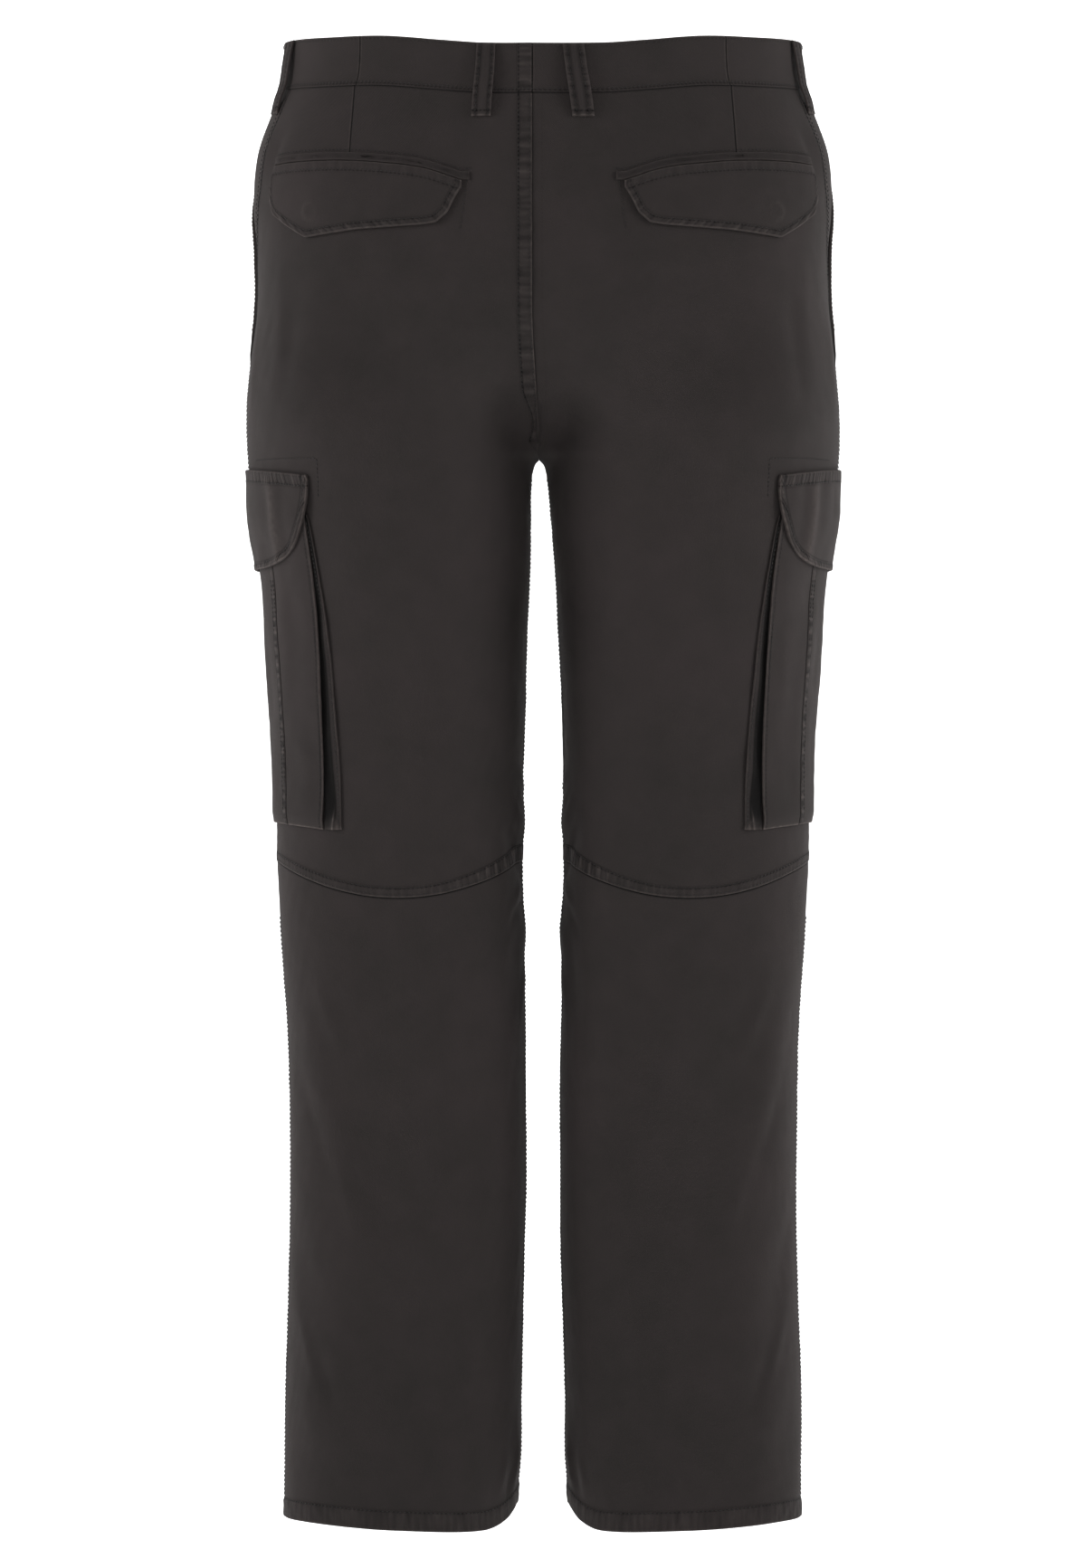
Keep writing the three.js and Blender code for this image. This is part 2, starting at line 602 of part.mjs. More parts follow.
// The flap's edges at a distance from the side seam, and how far it and the pocket's face under
// it stand off the leg
const cargoFlapTop = (distance) => CARGO_FLAP.top - CARGO_FLAP.topSag * Math.abs(distance / CARGO_FLAP.half) ** 1.5;
const cargoFlapBottom = (distance) => curveThrough(CARGO_FLAP_BOTTOM, 'across', 'z', Math.abs(distance));
const cargoFlapLift = (distance, z) => mix(
  CARGO_FLAP.liftTop,
  CARGO_FLAP.liftBottom,
  smooth((cargoFlapTop(distance) - z) / CARGO_FLAP.opening),
);
const cargoBottom = (distance) => CARGO.bottom - CARGO.bottomSag * (distance / CARGO.faceHalfTop) ** 2;
function cargoFaceLift(distance, z) {
  const belowFlap = smooth((CARGO_FLAP_BOTTOM[0].z - 8 - z) / 50);
  const aboveBottom = mix(0.4, 1, smooth((z - cargoBottom(distance)) / 110));
  const underFlap = cargoFlapLift(distance, z) - CARGO_FLAP.cloth - 1;
  return Math.min(CARGO.faceLift, underFlap) + CARGO.faceSwell * belowFlap * aboveBottom;
}
const cargoFaceTop = (distance) => cargoFlapTop(distance) - CARGO.underFlap;
const cargoFaceHalf = (z) => mix(
  CARGO.faceHalfBottom,
  CARGO.faceHalfTop,
  clamp((z - CARGO.bottom) / (CARGO.faceTop - CARGO.bottom), 0, 1),
);

function cargoPocket(half) {
  const closing = (distance, z) => smooth(1 - (z - cargoBottom(distance)) / CARGO.hemDepth);

  // The face narrows downwards, so its strips are laid out at its width under the flap
  const faceStrips = [
    { name: 'cargo_pocket_back', from: CARGO.seam + HALF_GAP, to: CARGO.faceHalfTop, columns: 4 },
    { name: 'cargo_pocket_centre', from: -CARGO.seam + HALF_GAP, to: CARGO.seam - HALF_GAP, columns: 8 },
    { name: 'cargo_pocket_front', from: -CARGO.faceHalfTop, to: -CARGO.seam - HALF_GAP, columns: 4 },
  ];
  const narrowed = (z, distance) => (distance * cargoFaceHalf(z)) / CARGO.faceHalfTop;
  for (const { name, from, to, columns } of faceStrips) {
    layer(`${name}_${half}`, half, {
      across: evenly(from, to, columns),
      top: cargoFaceTop,
      bottom: cargoBottom,
      rows: 11,
      around: (z, distance) => aroundFromSide(z, narrowed(z, distance)),
      lift: (distance, z) => cargoFaceLift(distance, z) - 1.4 * closing(distance, z),
      cloth: (distance, z) => mix(CARGO.cloth, cargoFaceLift(distance, z) - 2.2, closing(distance, z)),
    });
  }

  // The bellows at each upright edge: one leaf from the stitching on the leg to under the face
  const leaf = [
    { share: 0, height: 1.9 },
    { share: 0.3, height: 2.8 },
    { share: 0.62, height: 2.1 },
    { share: 1, height: 2.8 },
  ];
  const rows = 10;
  for (const [name, facing] of [['cargo_bellows_back', 1], ['cargo_bellows_front', -1]]) {
    addPiece(`${name}_${half}`, wallGeometry(leaf.length - 1, rows, (i, j) => {
      const bottom = cargoBottom(CARGO.faceHalfTop);
      const down = j / rows;
      const z = mix(CARGO.bellowsTop, bottom, down);
      const open = smooth((CARGO.bellowsTop - 36 - z) / 60) * smooth((z - bottom) / 40 - 0.3);
      const stitched = cargoFaceHalf(z) + CARGO.bellowsTopWidth + CARGO.bellowsSpread * down ** 1.1;
      const distance = facing * mix(stitched, cargoFaceHalf(z) + 0.9 - 7 * open, leaf[i].share);
      const height = mix(leaf[0].height, leaf[i].height, open);
      return clothPair(half, aroundFromSide(z, distance), z, height, CARGO.bellowsCloth);
    }));
  }

  // The flap covers the mouth: upright ends, and round lower corners
  const flapSteps = [0, 26, 52, 71, 88, 99, 108, 114, 120, 126, CARGO_FLAP.half];
  layer(`cargo_flap_${half}`, half, {
    across: [...flapSteps.slice(1).map((distance) => -distance).reverse(), ...flapSteps],
    top: cargoFlapTop,
    bottom: cargoFlapBottom,
    rows: 5,
    around: aroundFromSide,
    lift: cargoFlapLift,
    cloth: CARGO_FLAP.cloth,
  });
}

// A strap tacked at both ends, standing off the waistband between them
function beltLoop(name, half, placeAt, width, slant) {
  const columns = 2;
  const rows = 9;
  addPiece(`${name}_${half}`, wallGeometry(columns, rows, (i, j) => {
    const share = j / rows;
    const top = bandTop(placeAt) - 1;
    const z = top - LOOP.length * share;
    const standOff = LOOP.standOff * Math.sin(Math.PI * share) ** 0.8;
    const tack = LOOP.tackLift + mix(BAND_LIFT, 0, smooth((share - 0.75) / 0.25));
    const aside = width * (i / columns - 0.5) + slant * (z - top + LOOP.length / 2);
    return clothPair(half, nudge(placeAt, z, aside), z, tack + standOff + LOOP.cloth, LOOP.cloth);
  }));
}

// The drift of the seat seam draws the loops at the back together on the left and apart on the
// right, so their strips are laid out wider and narrower
function beltLoops() {
  beltLoop('belt_loop_back', 'left', aroundFromCentre(-10, 40.5), 16.8, 0.03);
  beltLoop('belt_loop_back', 'right', aroundFromCentre(-10, 29), 13.4, 0.08);
  for (const half of ['left', 'right']) {
    beltLoop('belt_loop_side', half, nudge(sideSeam(0), 0, -1), 14.5, 0.1);
    beltLoop('belt_loop_front', half, aroundFromCentre(-10, 100, -1), 14.5, 0);
  }
}

function fly() {
  const curveStart = -140;
  const width = (z) => FLY.width * Math.sqrt(1 - clamp((curveStart - z) / (curveStart - FLY.bottom), 0, 0.97) ** 2);
  const top = bandBottom(-1) - SEAM_GAP;
  const columns = 4;
  const rows = 9;
  addPiece('fly', wallGeometry(columns, rows, (i, j) => {
    const z = mix(top, FLY.bottom, j / rows);
    const distance = mix(0.4, width(z), i / columns);
    return clothPair('left', aroundFromCentre(z, distance, -1), z, FLY.lift + FLY.cloth, FLY.cloth);
  }));
}

// The left end of the waistband laps over the right one and is buttoned there
function bandTabAndButton() {
  const columns = 3;
  const rows = 2;
  const lift = BAND_LIFT + BAND_TAB.gap + BAND_TAB.cloth;
  addPiece('waistband_tab', wallGeometry(columns, rows, (i, j) => {
    const distance = mix(0.2, BAND_TAB.length, i / columns);
    const z = mix(bandTop(-1), bandBottom(-1), j / rows);
    return clothPair('right', aroundFromCentre(z, distance, -1), z, lift, BAND_TAB.cloth);
  }));

  const { radius, height, rim, dish } = BUTTON;
  const profile = [
    [0, 0], [radius - 0.6, 0], [radius, 0.8], [radius, height - 0.7], [radius - 0.6, height],
    [radius - rim - 0.6, height], [radius - rim - 1.4, height - dish], [0, height - dish],
  ].map(([x, y]) => new THREE.Vector2(x, y));
  const button = new THREE.LatheGeometry(profile, 28);
  const z = bandBottom(-1) + BAND_HEIGHT / 2;
  const around = aroundFromCentre(z, BUTTON.along, -1);
  const [seat, under] = clothPair('right', around, z, lift, 1);
  const direction = seat.clone().sub(under).normalize();
  button.applyQuaternion(new THREE.Quaternion().setFromUnitVectors(new THREE.Vector3(0, 1, 0), direction));
  const centre = seat.clone().addScaledVector(direction, BUTTON.gap);
  button.translate(centre.x, centre.y, centre.z);
  addPiece('waist_button', button, BUTTON_COLOUR, 0.45);
}

for (const half of ['left', 'right']) {
  legPanels(half);
  waistband(half);
  backPocket(half);
  cargoPocket(half);
}
beltLoops();
fly();
bandTabAndButton();

export default garment;
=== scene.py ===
# %% [markdown]
# # Cargo trousers, seen from behind
# The trousers are worked out as one smooth surface, and everything on it is a height above that
# surface: folds, felled seams, puckers, flaps, pockets and belt loops. A place on the cloth is
# named by `around` (0 at the side, 1 at the centre back or inseam, -1 at the centre front) and by
# `z`, its height. Lengths are millimetres until a mesh is made.

# %%
# The frame and the measured sizes
import math

import bpy
import numpy as np
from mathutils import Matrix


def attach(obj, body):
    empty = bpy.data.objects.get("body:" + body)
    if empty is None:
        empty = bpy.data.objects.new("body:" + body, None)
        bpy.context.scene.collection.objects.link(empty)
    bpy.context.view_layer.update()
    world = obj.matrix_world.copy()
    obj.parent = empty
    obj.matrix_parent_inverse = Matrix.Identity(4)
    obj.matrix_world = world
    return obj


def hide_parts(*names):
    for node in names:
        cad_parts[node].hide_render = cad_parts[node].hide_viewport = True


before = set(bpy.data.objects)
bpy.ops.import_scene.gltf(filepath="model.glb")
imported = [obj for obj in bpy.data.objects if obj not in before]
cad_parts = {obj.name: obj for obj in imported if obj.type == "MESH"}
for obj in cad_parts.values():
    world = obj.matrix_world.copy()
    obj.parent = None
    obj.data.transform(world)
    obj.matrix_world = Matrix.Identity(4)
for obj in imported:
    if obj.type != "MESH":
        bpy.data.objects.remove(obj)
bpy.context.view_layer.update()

SECTION_COLUMNS = ("z", "outer", "inner", "front", "back", "centre", "square")
SECTIONS = [
    (30, 196.5, 6, 127, 130, 0, 2.12),
    (-9, 198.6, 6, 130, 132, 0, 2.14),
    (-30, 207.2, 6, 132, 136, 0, 2.16),
    (-60, 217.4, 6, 135, 143, 0, 2.2),
    (-95, 220.1, 6, 137, 151, -1, 2.25),
    (-135, 217.6, 6, 136, 158, -2, 2.32),
    (-175, 217.6, 6, 133, 161, -3, 2.4),
    (-216, 221.8, 5.5, 129, 160, -3, 2.55),
    (-257, 225, 5.3, 124, 154, -4, 2.75),
    (-291, 224, 5.3, 120, 146, -4, 2.9),
    (-322, 220.2, 7.4, 116, 137, -4, 2.9),
    (-362, 214, 9.2, 111, 127, -3, 2.9),
    (-423, 207.5, 12.3, 104, 112, -1, 2.9),
    (-485, 203.5, 14.5, 98, 100, 1, 2.9),
    (-545, 201.8, 16.2, 94, 90, 2, 2.9),
    (-594, 202.3, 16.4, 91, 84, 3, 2.9),
    (-650, 200, 15.6, 86, 80, 2, 2.9),
    (-734, 194, 14.1, 80, 78, 0, 2.9),
    (-858, 192.2, 13.5, 75, 78, -2, 2.9),
    (-982, 195, 16.8, 73, 76, -2, 2.9),
    (-1060, 196, 19, 73, 73, 0, 2.9),
    (-1110, 196.3, 20.5, 73, 71, 0, 2.9),
]

SEAM_GAP = -0.2  # neighbours lap a little, so that no light shows through a seam
CLOTH = 1.6
BAND_CLOTH = 2.4
BAND_LIFT = 0.6
BAND_HEIGHT = 37
BAND_TOP = [(-1, 2), (-0.75, 3.5), (-0.5, 9), (-0.25, 18), (0, 25.2), (0.15, 23.3), (0.3, 20.5), (0.45, 18.2),
            (0.57, 13.6), (0.7, 10.4), (1, 9.9)]
CROTCH_Z = -291
FORK_RISE_BACK = 110
FORK_RISE_FRONT = 70
FORK_BLEND_SIDE = 110
FORK_BLEND_CENTRE = 45
FORK_SOFTNESS = 45
FORK_LAP = 0.8
ARCH_DROP = 14
ARCH_SHARPNESS = 6
LEG_SQUARE = 2.1
SEAT_SEAM_DRIFT = 8
SEAT_SEAM_DRIFT_WIDTH = 60
FORK_DRIFT = 3
KNEE_SEAM_Z = -596.5
KNEE_SEAM_DIP = 26.5
HEM = [(-1, -1083), (-0.75, -1089.5), (-0.5, -1092), (-0.25, -1093.5), (0, -1095.2), (0.25, -1095),
       (0.5, -1098), (0.75, -1100.5), (0.85, -1095.5), (0.92, -1088.5), (1, -1083)]
SIDE_LEAN = 0.128
SIDE_LEAN_TOP = -40
SIDE_LEAN_BOTTOM = -210
AROUND_SCALE = 300


# %% [markdown]
# ## The smooth surface
# Each height has a section: the half of the hips above the fork and a whole leg below it. A curve
# through the table gives the section at any height, and the two kinds of section blend at the seat.

# %%
# The surface without folds
def clamp(value, low, high):
    return np.minimum(high, np.maximum(low, value))


def mix(a, b, share):
    return a + (b - a) * share


def smooth(share):
    s = clamp(share, 0.0, 1.0)
    return s * s * (3 - 2 * s)


def curve_through(xs, ys, at):
    """A smooth curve through points sorted by rising x."""
    xs, ys = np.asarray(xs, float), np.asarray(ys, float)
    slope = np.empty_like(ys)
    slope[1:-1] = (ys[2:] - ys[:-2]) / (xs[2:] - xs[:-2])
    slope[0] = (ys[1] - ys[0]) / (xs[1] - xs[0])
    slope[-1] = (ys[-1] - ys[-2]) / (xs[-1] - xs[-2])
    x = np.clip(at, xs[0], xs[-1])
    k = np.clip(np.searchsorted(xs, x) - 1, 0, len(xs) - 2)
    span = xs[k + 1] - xs[k]
    s = (x - xs[k]) / span
    return (
        ys[k] * (2 * s**3 - 3 * s**2 + 1)
        + ys[k + 1] * (3 * s**2 - 2 * s**3)
        + (s**3 - 2 * s**2 + s) * span * slope[k]
        + (s**3 - s**2) * span * slope[k + 1]
    )


def through(table, at):
    """A smooth curve through a table of pairs."""
    return curve_through(*zip(*table), at)


def section_at(z):
    rising = sorted(SECTIONS)
    heights = [row[0] for row in rising]
    return [curve_through(heights, [row[c] for row in rising], z) for c in range(1, len(SECTION_COLUMNS))]


def signed_power(value, power):
    return np.sign(value) * np.abs(value) ** power


def quarter_round(share):
    return np.sqrt(1 - (1 - clamp(share, 0.0, 1.0)) ** 2)


def plain_point(around, z):
    """The cloth's outside without folds, for the half at +X: an array of points."""
    around, z = np.broadcast_arrays(np.asarray(around, float), np.asarray(z, float))
    outer, inner, front, back, centre, square = section_at(z)
    facing = np.where(around >= 0, 1.0, -1.0)
    depth = np.where(facing > 0, back + centre, front - centre)
    angle = math.pi * around
    c = np.cos(angle)
    reach = 1 - quarter_round((CROTCH_Z - z) / ARCH_DROP)
    half = (outer - inner) / 2
    x = inner + half + half * signed_power(c, 2 / LEG_SQUARE)
    x = x - inner * reach * np.maximum(0, -c) ** ARCH_SHARPNESS
    leg_y = centre - depth * signed_power(np.sin(angle), 2 / LEG_SQUARE)

    rise = np.where(facing > 0, FORK_RISE_BACK, FORK_RISE_FRONT)
    closed = quarter_round((z - CROTCH_Z) / rise)
    middle_y = centre - facing * depth * closed
    hip_y = centre - facing * depth * (1 - clamp(x / outer, 0, 1) ** square) ** (1 / square)
    hip_y = hip_y + (middle_y - centre + facing * depth) * np.exp(-((x / FORK_SOFTNESS) ** 2))
    lap = np.maximum(0, (np.abs(around) - FORK_LAP) / (1 - FORK_LAP)) ** 2
    fork_y = leg_y + (middle_y - centre) * lap
    blend = mix(FORK_BLEND_SIDE, FORK_BLEND_CENTRE, np.abs(around))
    hip_y = mix(fork_y, hip_y, smooth((z - CROTCH_Z) / blend))
    return np.stack([x, np.where(z <= CROTCH_Z, leg_y, hip_y), z], axis=-1)


def outward(around, z):
    """The outward direction of the smooth surface."""
    step_around, step_down = 0.008, 2.5
    further, nearer = (clamp(around + step, -1, 1) for step in (step_around, -step_around))
    across = plain_point(further, z) - plain_point(nearer, z)
    down = plain_point(around, z - step_down) - plain_point(around, z + step_down)
    normal = np.cross(across, down)
    return normal / np.linalg.norm(normal, axis=-1, keepdims=True)


def settle(half, points):
    """Moves points of the +X half to their real place in either half."""
    side = -1 if half == "left" else 1
    x = np.maximum(points[..., 0], 0) * side
    y, z = points[..., 1], points[..., 2]
    middle = smooth(1 - np.abs(x) / SEAT_SEAM_DRIFT_WIDTH)
    behind = smooth(-y / SEAT_SEAM_DRIFT_WIDTH)
    above = smooth((z - CROTCH_Z) / FORK_RISE_BACK)
    near_fork = smooth((z - CROTCH_Z + FORK_RISE_BACK) / FORK_RISE_BACK)
    drift = mix(FORK_DRIFT * near_fork, SEAT_SEAM_DRIFT * behind, above)
    return np.stack([x - drift * middle, y, z], axis=-1)


class Round:
    """Distances round the sections of the front or the back, from the side."""

    STEP = 2.0

    def __init__(self, facing):
        self.z = np.arange(-1112, 34, self.STEP)
        self.around = np.linspace(0, 1, 97)
        points = plain_point(facing * self.around[None, :], self.z[:, None])
        lengths = np.linalg.norm(np.diff(points, axis=1), axis=-1)
        self.arc = np.concatenate([np.zeros((len(self.z), 1)), np.cumsum(lengths, axis=1)], axis=1)

    def rows(self, z):
        k = np.clip((z - self.z[0]) / self.STEP, 0, len(self.z) - 1.001)
        i = k.astype(int)
        return i, (k - i)

    def distance(self, around, z):
        """Distance from the side to a place."""
        around, z = np.broadcast_arrays(np.abs(np.asarray(around, float)), np.asarray(z, float))
        i, f = self.rows(z)
        q = np.clip(around, 0, 0.99999) * 96
        j = q.astype(int)
        g = q - j
        low = mix(self.arc[i, j], self.arc[i, j + 1], g)
        high = mix(self.arc[i + 1, j], self.arc[i + 1, j + 1], g)
        return mix(low, high, f)

    def whole(self, z):
        return self.distance(1.0, z)

    def place(self, z, distance):
        """The place at a distance from the side."""
        z, distance = np.broadcast_arrays(np.asarray(z, float), np.asarray(distance, float))
        shape = z.shape
        z, distance = z.ravel(), distance.ravel()
        i, f = self.rows(z)
        table = mix(self.arc[i], self.arc[i + 1], f[:, None])
        k = np.clip((table < distance[:, None]).sum(axis=1), 1, 96)
        rows = np.arange(len(z))
        low, high = table[rows, k - 1], table[rows, k]
        share = np.clip((distance - low) / (high - low), 0, 1)
        return ((k - 1 + share) / 96).reshape(shape)


BEHIND, BEFORE = Round(1), Round(-1)


def from_side(z, distance):
    """around, for a distance from the side, positive towards the back."""
    return np.where(distance < 0, -BEFORE.place(z, np.abs(distance)), BEHIND.place(z, np.abs(distance)))


def from_centre(z, distance, facing=1):
    """around, for a distance from the centre back (facing 1) or centre front (facing -1)."""
    table = BEHIND if facing > 0 else BEFORE
    return facing * table.place(z, table.whole(z) - distance)


def side_distance(around, z):
    """Signed distance from the side line, positive towards the back."""
    return np.where(around >= 0, BEHIND.distance(around, z), -BEFORE.distance(around, z))


def nudge(around, z, distance):
    step = 0.01
    a = plain_point(clamp(around + step, -1, 1), z)
    b = plain_point(clamp(around - step, -1, 1), z)
    return around + distance * 2 * step / np.linalg.norm(a - b, axis=-1)


# %% [markdown]
# ## Edges that several pieces share

# %%
# The lines along which the pieces meet
def band_top(around):
    return through(BAND_TOP, around)


def band_bottom(around):
    return band_top(around) - BAND_HEIGHT


def side_seam(z):
    return SIDE_LEAN * smooth((z - SIDE_LEAN_BOTTOM) / (SIDE_LEAN_TOP - SIDE_LEAN_BOTTOM))


def knee_seam(around):
    return KNEE_SEAM_Z - KNEE_SEAM_DIP * np.sin(math.pi * clamp(around, 0, 1)) ** 2


def hem_line(around):
    return through(HEM, around)


MOUTH_AROUND, MOUTH_BOTTOM, MOUTH_UNDERLAP = -0.135, -196, 12
MOUTH_LIFT, MOUTH_SETTLED, MOUTH_END = 2.4, 42, 34


def mouth_line(z):
    top = band_bottom(0)
    return mix(side_seam(z), MOUTH_AROUND, smooth((z - MOUTH_BOTTOM) / (top - MOUTH_BOTTOM)))


def mouth_lift(around, z):
    """The front stands off the facing along the mouth, and lies flat again further on."""
    beyond = (mouth_line(z) - around) * AROUND_SCALE
    below = MOUTH_BOTTOM - z
    return MOUTH_LIFT * smooth((MOUTH_SETTLED - beyond) / 22) * smooth((MOUTH_END - below) / 22)


# %% [markdown]
# ## Folds and creases
# A fold is a soft ridge or trough with a place, a length, a width and a slant. The first table has
# the large ones and the second the small creases that catch the light. Most are on both halves,
# and a few on one.

# %%
# Tables of folds by half: around in mm, z, long, wide, slant in degrees, high
FOLDS = {
    "both": [
        (148, -215, 150, 26, 4, -2.2), (100, -200, 150, 24, -4, 1.8), (236, -262, 80, 20, 38, -2.4),
        (262, -340, 110, 20, 22, 2.6), (236, -395, 130, 24, 24, -2.4), (180, -430, 180, 30, 8, 1.8),
        (286, -560, 80, 13, 48, 2.6), (268, -584, 70, 12, 52, -2.4), (290, -655, 90, 14, -40, 2.4),
        (262, -690, 110, 18, -30, -2.2), (78, -760, 190, 20, 22, 3), (118, -800, 200, 22, 20, -2.8),
        (52, -905, 150, 20, 26, -2.6), (212, -880, 220, 30, -6, 2), (70, -1010, 120, 22, 30, 2.4),
        (282, -1045, 90, 16, -8, 2.2), (-60, -320, 130, 24, 10, 2), (-232, -250, 100, 20, -44, -2.6),
        (-258, -318, 120, 20, -30, 2.6), (-205, -360, 150, 24, -26, -2.2), (-150, -560, 120, 22, 70, 2),
        (-160, -640, 130, 20, -72, -2.2), (-240, -600, 90, 16, -50, 2.4), (-120, -760, 190, 26, 12, 2.2),
        (-190, -870, 200, 26, -12, -2.4), (-90, -985, 150, 22, -24, 2.4),
    ],
    "left": [
        (150, -690, 120, 22, -14, 1.8), (170, -1000, 130, 22, 14, -1.8),
    ],
    "right": [
        (160, -730, 140, 22, 12, 1.8), (150, -960, 150, 24, -10, -1.8),
    ],
}
QUIET_HALF, QUIET_TOP, QUIET_BOTTOM, QUIET_SHARE, QUIET_EDGE = 138, -290, -580, 0.3, 30

CREASES = {
    "both": [
        (44, -60, 70, 5, -14, 1.3), (58, -64, 60, 5, -16, -1.1), (66, -190, 130, 8, 2, 1.1),
        (80, -215, 120, 7, -3, -1.0), (30, -225, 110, 7, 3, 1.3), (275, -285, 50, 6, 52, 1.4),
        (262, -300, 60, 6, 50, -1.3), (280, -318, 70, 7, 40, 1.3), (288, -536, 40, 4.5, 52, 1.4),
        (278, -552, 46, 4, 50, -1.3), (268, -574, 50, 4.5, 55, 1.1), (284, -604, 44, 4.5, 60, -1.3),
        (276, -622, 60, 5, -56, 1.3), (262, -640, 60, 5, -50, -1.0), (290, -690, 60, 6, -30, 1.1),
        (92, -720, 120, 8, 22, 1.4), (70, -800, 110, 8, 24, -1.1), (104, -850, 90, 7, 20, 1.0),
        (60, -960, 100, 7, 30, 1.3), (84, -985, 90, 7, 28, -1.1), (240, -770, 120, 8, -14, 0.8),
        (222, -960, 120, 8, -8, -0.8), (250, -1058, 46, 5, -20, 1.4), (262, -1066, 40, 4.5, -24, -1.4),
        (274, -1052, 60, 5, -12, 1.3), (180, -640, 70, 7, -66, 0.8), (130, -560, 80, 8, 60, 0.8),
        (-240, -290, 70, 6, -46, 1.4), (-225, -306, 80, 6, -42, -1.3), (-170, -596, 90, 7, -80, 1.3),
        (-140, -612, 80, 6, 82, -1.1), (-120, -580, 70, 6, 76, 1.1),
    ],
    "left": [
        (120, -330, 90, 9, 12, 0.5), (205, -500, 90, 8, -16, 0.4), (150, -860, 110, 9, 10, 0.6),
    ],
    "right": [
        (128, -342, 100, 9, 8, 0.5), (200, -478, 100, 8, -12, 0.4), (158, -900, 100, 9, 8, 0.6),
    ],
}


def fold_sum(table, half, around, z):
    height = np.zeros(np.broadcast(around, z).shape)
    for at, level, long, wide, slant, high in table["both"] + table[half]:
        turn = math.radians(slant)
        across, up = around * AROUND_SCALE - at, z - level
        length = up * math.cos(turn) - across * math.sin(turn)
        width = across * math.cos(turn) + up * math.sin(turn)
        share = np.abs(length) / (long / 2)
        ridge = high * np.cos(share * math.pi / 2) ** 2 * np.exp(-((width / wide) ** 2))
        height += np.where(share < 1, ridge, 0)
    return height


def waves(u, v, seed, longest, shortest, count=26):
    """Soft, even unrest, about -1 to 1: waves of many directions and lengths."""
    rng = np.random.default_rng(seed)
    total = np.zeros(np.broadcast(u, v).shape)
    for _ in range(count):
        length = math.exp(rng.uniform(math.log(shortest), math.log(longest)))
        turn, phase = rng.uniform(0, 2 * math.pi, 2)
        total += np.sin(2 * math.pi * (u * math.cos(turn) + v * math.sin(turn)) / length + phase)
    return total / math.sqrt(count / 2) / 1.6


def relief(half, around, z):
    """Height of the cloth above the smooth surface."""
    seed = 11 if half == "left" else 23
    beside = smooth((np.abs(around * AROUND_SCALE) - QUIET_HALF) / QUIET_EDGE)
    above_or_below = smooth(np.maximum(z - QUIET_TOP, QUIET_BOTTOM - z) / QUIET_EDGE)
    loud = mix(QUIET_SHARE, 1, np.maximum(beside, above_or_below))
    height = fold_sum(FOLDS, half, around, z) * loud + fold_sum(CREASES, half, around, z)
    u = around * AROUND_SCALE
    calm = smooth((-40 - z) / 60)
    height += 0.55 * calm * waves(u, z * 0.6, seed, 150, 60)
    height += 0.12 * calm * waves(u, z, seed + 1, 34, 12)
    return height


# %% [markdown]
# ## Walls of cloth
# Every piece is a wall with an outside and an inside, made from a grid of places. Rows and columns
# are closer at the edges, where the cloth's fold is round. Each point also carries, for the
# material, how worn it is and how much painted highlight it has, how much painted shade it gets in
# seams and recesses, and how far it is from the edges of the seams' bands and from single lines.

# %%
# From grids to pieces
FAR = 1000.0
PIECES = {}
STITCH_LINES = {"left": [], "right": []}


def add_object(name, data):
    obj = bpy.data.objects.new(name, data)
    bpy.context.scene.collection.objects.link(obj)
    return obj


def place(half, around, z, height):
    """Points at a height above the smooth surface, in mm."""
    return settle(half, plain_point(around, z) + outward(around, z) * np.asarray(height)[..., None])


def spread(low, high, step, edge=(0, 0.3, 0.8, 1.6, 2.8)):
    """Numbers from low to high about a step apart, and closer at both ends."""
    edge = np.array(edge)
    inner = np.linspace(low + edge[-1] + step * 0.8, high - edge[-1] - step * 0.8,
                        max(2, int(round((high - low - 2 * edge[-1]) / step)) - 1))
    return np.concatenate([low + edge, inner, high - edge[::-1]])


def edge_round(distance, radius, drop):
    """How far a rounded edge falls, at a distance from it."""
    return -drop * (1 - quarter_round(distance / radius))


def band(across, width, along, seen=1.0, puckered=0.0):
    """A seam's band: distance in from its edge, width, distance along, and how strongly its painted
    highlight, painted shade and stitch dashes show.
    """
    return across, width, along, seen, puckered


def write_vectors(mesh, key, parts, shape, hide_inside=False):
    flat = np.stack([np.broadcast_to(np.asarray(v, float), shape).ravel() for v in parts], -1)
    both = np.concatenate([flat, flat * 0 if hide_inside else flat]).astype(np.float32)
    mesh.attributes.new(key, "FLOAT_VECTOR", "POINT").data.foreach_set("vector", both.ravel())


